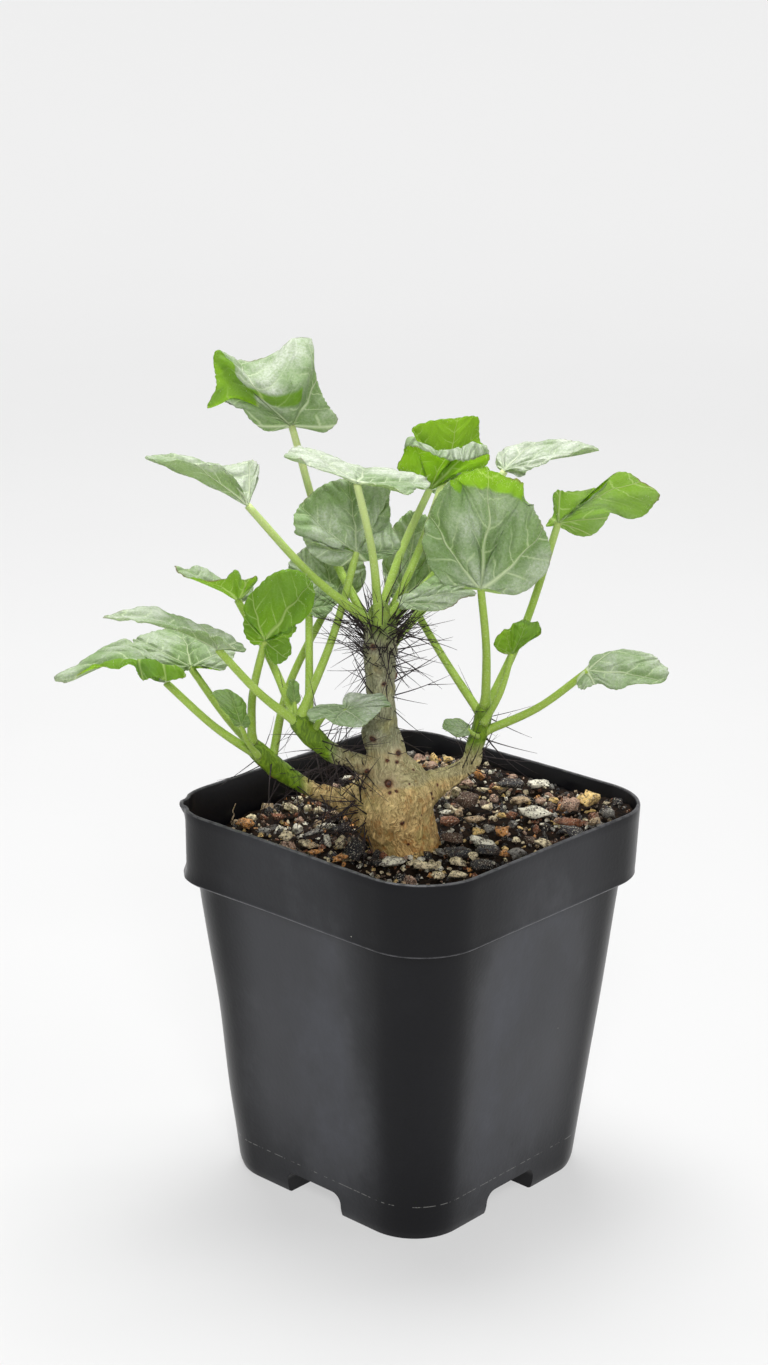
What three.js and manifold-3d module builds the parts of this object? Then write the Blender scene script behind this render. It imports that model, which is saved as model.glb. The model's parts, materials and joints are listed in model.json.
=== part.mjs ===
// A potted jatropha marginata. A swollen caudex carries a slim bristly trunk and three short branches.
// Leaves on long stalks grow at the tops. It stands in gritty mix in a square nursery pot.
// Lengths are in millimetres and +Z is up. The origin is the middle of the pot's underside.
import * as THREE from "three";
import { mergeVertices } from "three/addons/utils/BufferGeometryUtils.js";
import Module from "manifold-3d";

const wasm = await Module();
wasm.setup();
const { Manifold, Mesh } = wasm;

// Driving dimensions of the pot
const rimWidth = 100;
const potHeight = 108.6;
const collarDepth = 20.1;
const collarWidth = 98.7;
const neckWidth = 93.1;
const baseWidth = 75.9;
const rimCorner = 19;
const neckCorner = 18;
const baseCorner = 15.4;
const wall = 1.2;
const notchWidth = 20;
const notchHeight = 7;
const channelReach = 23;
const drainDiameter = 9;
const gap = 0.3;

// Driving dimensions of the mix
const mixLevel = 99.5;
const mixRise = 0.05;
const stonePitch = 8.6;
const stoneSizes = [5.6, 9.6];

// The plant was measured as seen from the side that shows best, so it is built that way round:
// x to the right, y away and z up. It then turns with this angle onto the pot.
const plantTurn = 42;

// Driving dimensions of the plant
const bladeThickness = 0.66;
const stalkRadius = 1.1;
const spineCount = 190;
const spineRoot = 0.32;
const spineLengths = [8, 16];

// Axis points of the grown wood: x, y, z and radius
const caudexAndTrunk = [
  [0.5, -8.5, 78, 7], [-0.3, -9.5, 87, 9.4], [-1.2, -10, 95.7, 10.3], [-3.8, -10, 104.5, 10.4],
  [-5, -10, 111, 11.2], [-5.8, -10, 116.5, 10.2], [-6, -10, 120, 8.2], [-7, -10, 124.2, 5.9],
  [-8.4, -10, 129.5, 5.3], [-9, -10, 135, 4.6], [-9, -10, 140, 3.9], [-9.2, -10, 147, 4],
  [-9.4, -10, 155, 4.4], [-9.2, -10, 161, 4.2], [-9, -10, 164.5, 2.6],
];
const lowerLeftBranch = [
  [-8, -9, 111.5, 5.2], [-13.5, -7.5, 111.2, 4], [-18.5, -6, 111.3, 3], [-24, -5, 112.3, 2.5],
  [-29.2, -4, 114, 2.4], [-34.6, -4, 117.4, 2.6], [-38.1, -5, 120.5, 2.8], [-42.1, -6, 124.8, 2.6],
  [-43.6, -6, 126.8, 1.8],
];
const upperLeftBranch = [
  [-8.5, -11, 122, 3.8], [-14, -14, 124.8, 2.7], [-18.2, -17, 127.1, 2.2], [-23.1, -21, 130.7, 2.5],
  [-26.8, -22, 134.3, 3], [-30.2, -22, 138.1, 2.7], [-31.4, -22, 139.8, 1.7],
];
const rightBranch = [
  [-3, -9.5, 111.5, 5], [3, -8.5, 114.5, 3.9], [8.8, -6, 117.2, 2.7], [13.7, -4, 119.3, 2.4],
  [16, -3, 121.2, 2.5], [16.5, -3, 125, 2.4], [18.1, -3, 130.2, 2.5], [19, -3, 135.4, 2.4],
  [19.6, -3, 137.5, 1.7],
];

// The leaves. root is on the shoot, base is where the stalk meets the blade and bow pushes the stalk's middle.
// along points down the midrib and face out of the upper side. The blade has a length, a width and basal
// lobes as a share of the length. bend curls it along the midrib, cup and vee across it, and wave ripples
// the margin. Each fold has a point, a direction, a turn and a radius on the flat blade.
const leaves = [
  {
    name: "leaf_crown_far_left", root: [-12, -8, 160], base: [-33.8, 22, 208], bow: [-1.5, 0, -3],
    along: [-0.4, 0.5, 0.8], face: [0.1, -0.85, 0.45], length: 40, width: 34, lobe: 0.1, wave: 1.2,
    folds: [[0, 19.5, 82, 155, 3.2]],
  },
  {
    name: "leaf_crown_left", root: [-10, -12, 161], base: [-43.9, -12, 193.6], bow: [0, 0, -2.5],
    along: [-0.78, 0.1, 0.6], face: [0.55, 0.02, 0.8], length: 31, width: 24, bend: -40, vee: 0.25, wave: 0.8,
  },
  {
    name: "leaf_crown_front", root: [-9.5, -13, 162], base: [-15.4, -26, 202.8], bow: [1.2, 0, 0],
    along: [0.05, 1, -0.05], face: [0.24, 0.04, 0.97], length: 26, width: 38, bend: -8, wave: 0.6, lobe: 0.1,
  },
  {
    name: "leaf_crown_back", root: [-9.5, -6, 162.5], base: [3.6, 12, 193], bow: [-1, 0, 0],
    along: [0.1, -0.35, 0.93], face: [0.05, 0.93, 0.35], length: 15, width: 26, wave: 0.8,
    folds: [[0, 9, 84, -150, 1.5]],
  },
  {
    name: "leaf_crown_top", root: [-8.6, -5.5, 158.5], base: [8.5, 19, 197], bow: [1, -1, 0],
    along: [0, -0.45, 0.9], face: [0, 0.9, 0.45], length: 15.5, width: 18.5, wave: 0.4, square: 3.4,
  },
  {
    name: "leaf_crown_right", root: [-6.5, -8.5, 161.5], base: [23.3, 5, 199.8], bow: [1, 4, -3],
    along: [0.95, 0.05, 0.27], face: [-0.25, -0.12, 0.95], length: 26.5, width: 22, bend: -12, wave: 0.9,
  },
  {
    name: "leaf_crown_near_right", root: [-8, -11, 163], base: [-4, -11, 167.4], bow: [0, 0, 0],
    along: [0.97, -0.1, 0.18], face: [-0.14, -0.22, 0.93], length: 18.6, width: 16, wave: 0.9,
  },
  {
    name: "leaf_crown_rear", root: [-6, -6, 155], base: [10.5, 27, 189.4], bow: [8, 0, 0],
    along: [-0.8, 0.2, 0.35], face: [0.3, -0.25, 0.9], length: 9.5, width: 13, wave: 0.5, lobe: 0.3,
  },
  {
    name: "leaf_b2_back", root: [-30, -22, 139], base: [-15.6, -4, 179.4], bow: [1, 0, -1],
    along: [-0.28, 0.25, 0.92], face: [0.1, -1, 0.3], length: 20, width: 30, bend: 10, cup: 8, wave: 0.9,
    lobe: 0.25,
  },
  {
    name: "leaf_b2_left", root: [-30, -22.5, 137.5], base: [-50.8, -28, 159.3], bow: [0.5, 0, -2],
    along: [-0.93, 0, 0.25], face: [0.2, 0.07, 0.97], length: 31.5, width: 26, vee: 0.1, wave: 0.8,
    lobe: 0.25,
  },
  {
    name: "leaf_b2_small_left", root: [-31, -21, 138.4], base: [-47.5, 2, 164.3], bow: [1, 0, 0],
    along: [-0.8, -0.1, 0.45], face: [0.4, 0.1, 0.8], length: 17, width: 18, vee: 0.45, wave: 0.9,
  },
  {
    name: "leaf_b2_hidden", root: [-27.5, -21, 134.6], base: [-28.2, -3, 163.4], bow: [0, 1, 1],
    along: [0.5, 0.4, 0.5], face: [-0.3, -0.8, 0.6], length: 9.5, width: 11, wave: 0.5,
  },
  {
    name: "leaf_b2_young", root: [-30.9, -22, 138.6], base: [-31.4, -21.2, 143.3], bow: [0, 0, 0],
    along: [-0.1, 0.1, 1], face: [0.2, -1, 0.1], length: 6, width: 3.8, cup: 40, wave: 0.3, stalk: 0.7,
  },
  {
    name: "leaf_b2_low", root: [-27, -22.2, 134.6], base: [-17.7, -32, 144.3], bow: [0, -1, -1],
    along: [0.97, 0, 0.14], face: [-0.05, -0.26, 0.9], length: 12, width: 17.5, lobe: 0.85, wave: 0.5,
    sinus: 0.5, stalk: 0.9,
  },
  {
    name: "leaf_b1_back", root: [-38.2, -4.8, 120.6], base: [-21.8, 6, 165.2], bow: [-4, 1, -3],
    along: [-0.25, 0.3, 0.9], face: [-0.1, -1, 0.3], length: 14.5, width: 25, wave: 0.9, lobe: 0.25,
  },
  {
    name: "leaf_b1_left", root: [-41, -6.6, 122.8], base: [-66, -10, 144.7], bow: [0.5, 0, -2],
    along: [-0.62, 0.1, 0.78], face: [0.5, -0.02, 0.86], length: 36, width: 20, bend: -85, vee: 0.1,
    wave: 0.8,
  },
  {
    name: "leaf_b1_rear_left", root: [-42.2, -5.4, 124.4], base: [-61.1, 12, 142.3], bow: [0.5, 0, -2],
    along: [-0.15, 0.75, 0.12], face: [0.1, -0.3, 0.9], length: 23, width: 27, wave: 0.6, lobe: 0.3,
  },
  {
    name: "leaf_b1_near", root: [-43.4, -7, 127.3], base: [-39.3, -17, 158.6], bow: [-1.5, 0, -1],
    along: [0.38, 0.3, 0.87], face: [-0.1, -1, 0.35], length: 20, width: 18, cup: 10, wave: 0.9, lobe: 0.35,
  },
  {
    name: "leaf_b1_young", root: [-41.6, -8, 123.6], base: [-45.8, -14, 134.4], bow: [-0.6, -0.6, 0],
    along: [-0.55, 0.1, 0.8], face: [0.2, -0.9, 0.4], length: 11, width: 9, vee: 0.3, wave: 0.4, stalk: 0.8,
  },
  {
    name: "leaf_b3_big", root: [19.4, -3.4, 137], base: [17.1, -12, 171.8], bow: [0.8, 0, 0],
    along: [0.1, 0.14, 1], face: [0, -1, 0.14], length: 33, width: 34, wave: 0.9, lobe: 0.05,
    folds: [[0, 25.5, 94, 55, 2]], stalk: 1.25,
  },
  {
    name: "leaf_b3_far_right", root: [19.3, -1.8, 134.6], base: [38.2, 8, 185.2], bow: [1, 0, -2],
    along: [0.86, -0.1, 0.34], face: [0.2, 0.85, 0.5], length: 28.5, width: 14.5, wave: 1.6, waves: 4,
  },
  {
    name: "leaf_b3_small", root: [18.9, -5, 132.6], base: [26.1, -5, 152.3], bow: [0.8, -1.4, -0.5],
    along: [0.25, -0.2, 0.9], face: [-0.3, 0.8, 0.4], length: 11, width: 13, wave: 0.4,
    folds: [[0, 7, 70, -110, 1.2]], stalk: 0.9,
  },
  {
    name: "leaf_b3_right", root: [18.2, -3.2, 129.4], base: [44.9, -6, 145.6], bow: [1, 0, -1.6],
    along: [0.98, 0, 0.13], face: [-0.05, -0.4, 0.85], length: 23.5, width: 16, wave: 0.7, lobe: 0.05,
  },
  {
    name: "leaf_b3_back_left", root: [18.8, -2.8, 133.6], base: [-2.4, 14, 163.6], bow: [0, 0, -1],
    along: [0.12, 0.15, 0.95], face: [0.15, -1, 0.2], length: 22.5, width: 15, wave: 0.7, lobe: 0.15,
  },
  {
    name: "leaf_b3_young", root: [17.9, -3.6, 128.6], base: [14.6, -8.4, 132], bow: [0.3, -0.6, -0.4],
    along: [-0.9, -0.1, 0.2], face: [0.1, -0.5, 0.8], length: 7, width: 6, wave: 0.3, stalk: 0.7,
  },
];

// Repeatable random numbers from a seed
function dice(seed) {
  let state = seed;
  return () => {
    state = (state * 1664525 + 1013904223) % 4294967296;
    return state / 4294967296;
  };
}

const radians = (degrees) => (degrees * Math.PI) / 180;
const mix = (a, b, t) => a + (b - a) * t;

// A closed solid from vertices and triangles, turned to face outwards
function solidFrom(vertices, triangles) {
  const made = new Manifold(
    new Mesh({
      numProp: 3,
      vertProperties: new Float32Array(vertices.flat()),
      triVerts: new Uint32Array(triangles.flat()),
    }),
  );
  if (made.volume() > 0) return made;
  return solidFrom(vertices, triangles.map(([a, b, c]) => [a, c, b]));
}

// A stack of rings with the same number of points, closed at both ends by a middle point
function stack(rings) {
  const count = rings[0].length;
  const vertices = rings.flat();
  const triangles = [];
  for (let i = 0; i + 1 < rings.length; i++)
    for (let j = 0; j < count; j++) {
      const k = (j + 1) % count;
      const a = i * count + j;
      const b = i * count + k;
      const c = a + count;
      const d = b + count;
      triangles.push([a, b, d], [a, d, c]);
    }
  const middle = (ring) => [0, 1, 2].map((axis) => ring.reduce((sum, p) => sum + p[axis], 0) / count);
  const low = vertices.push(middle(rings[0])) - 1;
  const high = vertices.push(middle(rings.at(-1))) - 1;
  const last = (rings.length - 1) * count;
  for (let j = 0; j < count; j++) {
    const k = (j + 1) % count;
    triangles.push([low, k, j], [high, last + j, last + k]);
  }
  return solidFrom(vertices, triangles);
}

// The pot
// A square with round corners at height z, counterclockwise from above
function roundedSquare(width, corner, z, perCorner = 6) {
  const reach = width / 2 - corner;
  const points = [];
  for (let quarter = 0; quarter < 4; quarter++) {
    const middle = radians(45 + 90 * quarter);
    const cx = Math.sign(Math.cos(middle)) * reach;
    const cy = Math.sign(Math.sin(middle)) * reach;
    for (let i = 0; i <= perCorner; i++) {
      const angle = radians(90 * quarter + (90 * i) / perCorner);
      points.push([cx + corner * Math.cos(angle), cy + corner * Math.sin(angle), z]);
    }
  }
  return points;
}

const collarFoot = potHeight - collarDepth;

// The drainage channel that runs in from the notch of each side, with its height, half width and reach grown
function channels(grow, from) {
  const half = notchWidth / 2 + grow;
  const round = 3 + grow;
  const top = notchHeight + grow;
  const arch = [[half, from], [half, top - round]];
  for (let i = 1; i < 4; i++) {
    const angle = radians((90 * i) / 4);
    arch.push([half - round + round * Math.cos(angle), top - round + round * Math.sin(angle)]);
  }
  arch.push([half - round, top]);
  const profile = [...arch, ...arch.map(([x, z]) => [-x, z]).reverse()];
  const inner = baseWidth / 2 - channelReach - grow;
  const one = stack([
    profile.map(([x, z]) => [x, -baseWidth, z]),
    profile.map(([x, z]) => [x, -inner, z]),
  ]);
  return Manifold.union([0, 90, 180, 270].map((turn) => one.rotate([0, 0, turn])));
}

// The room inside the pot, drawn in from its walls by clear
function room(clear) {
  const inset = wall + clear;
  const floor = wall + clear;
  const slope = (collarFoot - floor) / collarFoot;
  const widthAtFloor = mix(neckWidth, baseWidth, slope);
  const inside = stack([
    roundedSquare(widthAtFloor - 2 * inset, baseCorner - inset, floor),
    roundedSquare(neckWidth - 2 * inset, neckCorner - inset, collarFoot + wall + clear),
    roundedSquare(collarWidth - 2 * inset, neckCorner - inset, collarFoot + wall + clear + 1.5),
    roundedSquare(rimWidth - 2 * inset, rimCorner - inset, potHeight + 5),
  ]);
  return inside.subtract(channels(wall + clear, -5));
}

const potOutside = stack([
  roundedSquare(baseWidth - 2, baseCorner - 1, 0),
  roundedSquare(baseWidth, baseCorner, 1.2),
  roundedSquare(neckWidth, neckCorner, collarFoot),
  roundedSquare(collarWidth, neckCorner, collarFoot + 0.4),
  roundedSquare(rimWidth, rimCorner, potHeight - 0.6),
  roundedSquare(rimWidth - 0.8, rimCorner - 0.4, potHeight),
]);
const drains = Manifold.union(
  [0, 90, 180, 270].map((turn) =>
    Manifold.cylinder(40, drainDiameter / 2, drainDiameter / 2, 16, true)
      .translate([0, -(baseWidth / 2 - channelReach + drainDiameter / 2 + 2), 0])
      .rotate([0, 0, turn]),
  ),
);
const pot = potOutside.subtract(room(0)).subtract(channels(0, -5)).subtract(drains);

// The grown wood
const vector = (p) => new THREE.Vector3(p[0], p[1], p[2]);

// A tube along a smooth curve through axis points with a radius each. extra makes it fatter all over.
function tube(axis, sides, steps, extra = 0) {
  const curve = new THREE.CatmullRomCurve3(axis.map(vector), false, "centripetal");
  const rings = [];
  let side = new THREE.Vector3(0.31, -0.93, 0.17);
  for (let i = 0; i <= steps; i++) {
    const t = i / steps;
    const centre = curve.getPoint(t);
    const along = curve.getTangent(t);
    side = side.clone().addScaledVector(along, -side.dot(along)).normalize();
    const up = new THREE.Vector3().crossVectors(along, side);
    const place = t * (axis.length - 1);
    const before = Math.min(Math.floor(place), axis.length - 2);
    const radius = mix(axis[before][3], axis[before + 1][3], place - before) + extra;
    const ring = [];
    for (let j = 0; j < sides; j++) {
      const angle = (2 * Math.PI * j) / sides;
      const p = centre
        .clone()
        .addScaledVector(side, radius * Math.cos(angle))
        .addScaledVector(up, radius * Math.sin(angle));
      ring.push(p.toArray());
    }
    rings.push(ring);
  }
  return stack(rings);
}

const woodAxes = [
  [caudexAndTrunk, 12, 24],
  [lowerLeftBranch, 7, 12],
  [upperLeftBranch, 7, 10],
  [rightBranch, 7, 12],
];
const wood = (extra) => Manifold.union(woodAxes.map(([axis, sides, steps]) => tube(axis, sides, steps, extra)));

// The leaves
// The flat outline of a blade: an ellipse cut in at the stalk, with small rounded teeth
function bladeOutline(leaf, sectors) {
  const lobe = leaf.lobe ?? 0.18;
  const sinus = leaf.sinus ?? 0.85;
  const square = leaf.square ?? 2.2;
  const half = (leaf.length * (1 + lobe)) / 2;
  const points = [];
  for (let j = 0; j < sectors; j++) {
    const phase = (2 * Math.PI * (j + 0.5)) / sectors;
    const s = Math.sin(phase);
    const c = -Math.cos(phase);
    const reach = (Math.abs(s) ** square + Math.abs(c) ** square) ** (-1 / square);
    const fromBase = Math.min(phase, 2 * Math.PI - phase);
    const cut = 1 - sinus * Math.exp(-((fromBase / 0.4) ** 2));
    const tooth = 1 + (j % 2 ? 0.018 : -0.018);
    const u = (leaf.width / 2) * s * reach * cut * tooth;
    const v = (leaf.length - half + half * c * reach) * cut * tooth;
    points.push([u, v, phase]);
  }
  return points;
}

// Rolls what lies beyond a line on the blade round a cylinder on that line
function rollOver(p, [u0, v0, heading, turn, radius]) {
  const nu = Math.cos(radians(heading));
  const nv = Math.sin(radians(heading));
  const beyond = (p[0] - u0) * nu + (p[1] - v0) * nv;
  if (beyond <= 0) return p;
  const sign = Math.sign(turn);
  const full = radians(Math.abs(turn));
  const swept = Math.min(beyond / radius, full);
  const rest = beyond - radius * swept;
  const lift = p[2] * sign;
  const flat = radius * Math.sin(swept) + rest * Math.cos(swept) - lift * Math.sin(swept);
  const high = radius * (1 - Math.cos(swept)) + rest * Math.sin(swept) + lift * Math.cos(swept);
  return [p[0] + (flat - beyond) * nu, p[1] + (flat - beyond) * nv, high * sign];
}

// Bends a strip: turn degrees over a length
function arc(flat, high, turn, length) {
  const k = radians(turn) / length;
  if (Math.abs(k) < 1e-6) return [flat, high];
  return [(1 / k - high) * Math.sin(k * flat), 1 / k - (1 / k - high) * Math.cos(k * flat)];
}

function bladePoint(leaf, u, v, phase, share) {
  const ripple = (leaf.wave ?? 0) * share * share * Math.sin((leaf.waves ?? 5) * phase);
  let p = [u * share, v * share, ripple];
  for (const fold of leaf.folds ?? []) p = rollOver(p, fold);
  const [cu, cz] = arc(p[0], p[2], leaf.cup ?? 0, leaf.width / 2);
  const lifted = cz + (leaf.vee ?? 0) * Math.abs(cu);
  const [bv, bz] = arc(p[1], lifted, leaf.bend ?? 0, leaf.length);
  return [cu, bv, bz];
}

// The blade's own directions: across, along and out of the upper side
function bladeFrame(leaf) {
  const along = vector(leaf.along).normalize();
  const face = vector(leaf.face);
  face.addScaledVector(along, -face.dot(along)).normalize();
  return [new THREE.Vector3().crossVectors(along, face), along, face];
}

function blade(leaf) {
  const small = leaf.length < 13;
  const sectors = small ? 12 : 18;
  const curled = Math.abs(leaf.bend ?? 0) > 30;
  const rings = leaf.folds ? 4 : curled ? 3 : 2;
  const [across, along, face] = bladeFrame(leaf);
  const place = (p) =>
    vector(leaf.base).addScaledVector(across, p[0]).addScaledVector(along, p[1]).addScaledVector(face, p[2]);
  const outline = bladeOutline(leaf, sectors);
  const middle = [place(bladePoint(leaf, 0, 0, 0, 0))];
  for (let i = 1; i <= rings; i++)
    for (const [u, v, phase] of outline) middle.push(place(bladePoint(leaf, u, v, phase, i / rings)));
  const sheet = [];
  for (let j = 0; j < sectors; j++) {
    const k = (j + 1) % sectors;
    sheet.push([0, 1 + k, 1 + j]);
    for (let i = 1; i < rings; i++) {
      const a = 1 + (i - 1) * sectors + j;
      const b = 1 + (i - 1) * sectors + k;
      sheet.push([a, b, b + sectors], [a, b + sectors, a + sectors]);
    }
  }
  const flipped = sheet.map(([a, b, c]) => [a, c, b]);
  const outward = middle.map(() => new THREE.Vector3());
  for (const [a, b, c] of sheet) {
    const n = new THREE.Vector3().crossVectors(
      middle[b].clone().sub(middle[a]),
      middle[c].clone().sub(middle[a]),
    );
    for (const index of [a, b, c]) outward[index].add(n);
  }
  const side = (offset) =>
    middle.map((p, i) => p.clone().addScaledVector(outward[i].clone().normalize(), offset).toArray());
  const count = middle.length;
  const vertices = [...side(bladeThickness / 2), ...side(-bladeThickness / 2)];
  const triangles = [...sheet, ...flipped.map((t) => t.map((index) => index + count))];
  for (let j = 0; j < sectors; j++) {
    const a = 1 + (rings - 1) * sectors + j;
    const b = 1 + (rings - 1) * sectors + ((j + 1) % sectors);
    triangles.push([a, b, b + count], [a, b + count, a + count]);
  }
  return solidFrom(vertices, triangles);
}

function stalkAxis(leaf) {
  const radius = leaf.stalk ?? stalkRadius;
  const mid = leaf.root.map((value, i) => (value + leaf.base[i]) / 2 + leaf.bow[i]);
  return [
    [...leaf.root, radius * 1.1],
    [...mid, radius],
    [...leaf.base, radius * 0.72],
  ];
}

const woodWithGap = wood(gap);
const leafSolids = leaves.map((leaf) => {
  const steps = leaf.length < 13 ? 3 : 5;
  const whole = blade(leaf).add(tube(stalkAxis(leaf), 5, steps));
  return [leaf.name, whole.subtract(woodWithGap).simplify(0.05)];
});

// The bristle spines, denser towards the top of the trunk and round the branch tips
const spineSpans = [
  { axis: caudexAndTrunk, from: 0.5, to: 0.985, share: 0.6 },
  { axis: lowerLeftBranch, from: 0.45, to: 0.95, share: 0.14 },
  { axis: upperLeftBranch, from: 0.28, to: 0.9, share: 0.14 },
  { axis: rightBranch, from: 0.45, to: 0.97, share: 0.12 },
];

// How near a spine comes to a leaf or its stalk
function clearOfLeaves(start, tip) {
  const probe = new THREE.Vector3();
  for (const leaf of leaves) {
    const [root, mid, base] = stalkAxis(leaf).map(vector);
    const curve = new THREE.CatmullRomCurve3([root, mid, base], false, "centripetal");
    const stalk = curve.getPoints(40);
    const sheet = [];
    for (const [u, v, phase] of bladeOutline(leaf, 16))
      for (const share of [0.2, 0.4, 0.6, 0.8, 1]) {
        const [across, along, face] = bladeFrame(leaf);
        const p = bladePoint(leaf, u, v, phase, share);
        sheet.push(
          vector(leaf.base).addScaledVector(across, p[0]).addScaledVector(along, p[1]).addScaledVector(face, p[2]),
        );
      }
    for (let i = 0; i <= 12; i++) {
      probe.lerpVectors(start, tip, i / 12);
      if (stalk.some((p) => p.distanceTo(probe) < 2.1)) return false;
      if (sheet.some((p) => p.distanceTo(probe) < 2.4)) return false;
    }
  }
  return true;
}

function spines() {
  const roll = dice(7);
  const made = [];
  for (const span of spineSpans) {
    const curve = new THREE.CatmullRomCurve3(span.axis.map(vector), false, "centripetal");
    const count = Math.round(spineCount * span.share);
    for (let i = 0; i < count; i++) {
      for (let attempt = 0; attempt < 6; attempt++) {
        const share = Math.sqrt((i + roll()) / count);
        const t = mix(span.from, span.to, share);
        const centre = curve.getPoint(t);
        const along = curve.getTangent(t);
        const angle = i * 2.39996 + roll() * 0.6;
        const side = new THREE.Vector3(1, 0.2, 0.1);
        side.addScaledVector(along, -side.dot(along)).normalize();
        const up = new THREE.Vector3().crossVectors(along, side);
        const out = side.multiplyScalar(Math.cos(angle)).addScaledVector(up, Math.sin(angle));
        const lean = mix(-0.55, 0.6, roll());
        out.addScaledVector(along, lean).normalize();
        const place = t * (span.axis.length - 1);
        const before = Math.min(Math.floor(place), span.axis.length - 2);
        const radius = mix(span.axis[before][3], span.axis[before + 1][3], place - before);
        const length = mix(spineLengths[0], spineLengths[1], roll());
        const start = centre.clone().addScaledVector(out, radius * 0.55);
        const skin = centre.clone().addScaledVector(out, radius);
        const tip = centre.clone().addScaledVector(out, radius + length);
        if (tip.z < mixLevel + 11) continue;
        if (!clearOfLeaves(skin, tip)) continue;
        const a = new THREE.Vector3(0.2, 0.5, 0.9).cross(out).normalize();
        const b = new THREE.Vector3().crossVectors(out, a);
        const ring = (at, r) =>
          [0, 1, 2].map((j) =>
            at
              .clone()
              .addScaledVector(a, r * Math.cos((j * 2 * Math.PI) / 3))
              .addScaledVector(b, r * Math.sin((j * 2 * Math.PI) / 3))
              .toArray(),
          );
        const root = ring(start, spineRoot);
        const vertices = [...root, tip.toArray()];
        made.push(solidFrom(vertices, [[2, 1, 0], [0, 1, 3], [1, 2, 3], [2, 0, 3]]));
        break;
      }
    }
  }
  return made;
}

const plantBody = Manifold.union([wood(0), ...spines()]);

// The gritty mix
const rowX = new THREE.Vector3(Math.cos(radians(plantTurn)), Math.sin(radians(plantTurn)), 0);

// The height of the mix at a place in the pot's frame. It rises to the plant's right.
function mixHeight(x, y) {
  const right = x * rowX.x + y * rowX.y;
  return mixLevel + mixRise * right + 0.7 * Math.sin(x / 11) * Math.cos(y / 13);
}

function ground() {
  const cells = 10;
  const reach = rimWidth / 2 + 2;
  const vertices = [];
  const triangles = [];
  for (const level of [0, 1])
    for (let i = 0; i <= cells; i++)
      for (let j = 0; j <= cells; j++) {
        const x = mix(-reach, reach, i / cells);
        const y = mix(-reach, reach, j / cells);
        vertices.push([x, y, level ? mixHeight(x, y) : -5]);
      }
  const row = cells + 1;
  const deck = row * row;
  for (let i = 0; i < cells; i++)
    for (let j = 0; j < cells; j++) {
      const a = i * row + j;
      const b = a + row;
      triangles.push([a, a + 1, b + 1], [a, b + 1, b]);
      triangles.push([deck + a, deck + b, deck + b + 1], [deck + a, deck + b + 1, deck + a + 1]);
    }
  const rim = [];
  for (let i = 0; i < cells; i++) rim.push([i * row, (i + 1) * row]);
  for (let j = 0; j < cells; j++) rim.push([cells * row + j, cells * row + j + 1]);
  for (let i = cells; i > 0; i--) rim.push([i * row + cells, (i - 1) * row + cells]);
  for (let j = cells; j > 0; j--) rim.push([j, j - 1]);
  for (const [a, b] of rim) triangles.push([a, b, deck + b], [a, deck + b, deck + a]);
  return solidFrom(vertices, triangles);
}

// Loose stones of the mix, each a block with broken corners, bedded a third deep
function stones() {
  const roll = dice(21);
  const made = [];
  const half = rimWidth / 2 - wall - 2;
  const rows = Math.ceil((2 * half) / (stonePitch * 0.866));
  for (let i = 0; i <= rows; i++)
    for (let j = 0; j <= (2 * half) / stonePitch; j++) {
      const x = -half + (j + (i % 2) * 0.5) * stonePitch + (roll() - 0.5) * 2.6;
      const y = -half + i * stonePitch * 0.866 + (roll() - 0.5) * 2.6;
      const size = mix(stoneSizes[0], stoneSizes[1], roll());
      const turn = [roll() * 360, roll() * 360, roll() * 360];
      const points = [];
      for (let corner = 0; corner < 8; corner++) {
        const sx = corner & 1 ? 1 : -1;
        const sy = corner & 2 ? 1 : -1;
        const sz = corner & 4 ? 1 : -1;
        points.push([
          sx * size * mix(0.3, 0.5, roll()),
          sy * size * mix(0.24, 0.42, roll()),
          sz * size * mix(0.2, 0.36, roll()),
        ]);
      }
      if (Math.hypot(Math.max(Math.abs(x) - 28, 0), Math.max(Math.abs(y) - 28, 0)) > 19) continue;
      const lift = mix(-0.02, 0.16, roll()) * size;
      made.push(Manifold.hull(points).rotate(turn).translate([x, y, mixHeight(x, y) + lift]));
    }
  return made;
}

const turned = (solid) => solid.rotate([0, 0, plantTurn]);

// The largest body of a solid, once points closer than a thousandth of a millimetre are one
function largestBody(solid) {
  const mesh = solid.getMesh();
  const geometry = new THREE.BufferGeometry();
  geometry.setAttribute("position", new THREE.BufferAttribute(new Float32Array(mesh.vertProperties), 3));
  geometry.setIndex(new THREE.BufferAttribute(new Uint32Array(mesh.triVerts), 1));
  const merged = mergeVertices(geometry.toNonIndexed(), 1e-3);
  const again = new Manifold(
    new Mesh({
      numProp: 3,
      vertProperties: new Float32Array(merged.attributes.position.array),
      triVerts: new Uint32Array(merged.index.array),
    }),
  );
  return again.decompose().sort((a, b) => b.volume() - a.volume())[0];
}

const mixSolid = largestBody(
  Manifold.union([ground().intersect(room(gap)), ...stones()])
    .intersect(room(gap))
    .subtract(turned(woodWithGap))
    .simplify(0.12),
);

// The finished group
const part = new THREE.Group();
part.name = "potted_jatropha_marginata";

function addNode(name, solid, colour, roughness) {
  const mesh = solid.getMesh();
  const geometry = new THREE.BufferGeometry();
  geometry.setAttribute("position", new THREE.BufferAttribute(new Float32Array(mesh.vertProperties), 3));
  geometry.setIndex(new THREE.BufferAttribute(new Uint32Array(mesh.triVerts), 1));
  geometry.computeVertexNormals();
  const material = new THREE.MeshStandardMaterial({ color: colour, roughness, metalness: 0 });
  material.name = name + "_finish";
  const node = new THREE.Mesh(geometry, material);
  node.name = name;
  part.add(node);
}

addNode("pot", pot, 0x26282c, 0.45);
addNode("potting_mix", mixSolid, 0x8a7460, 0.95);
addNode("plant_body", turned(plantBody), 0xa99a63, 0.8);
for (const [name, solid] of leafSolids) addNode(name, turned(solid), 0x9bb084, 0.75);

export default part;
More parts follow.
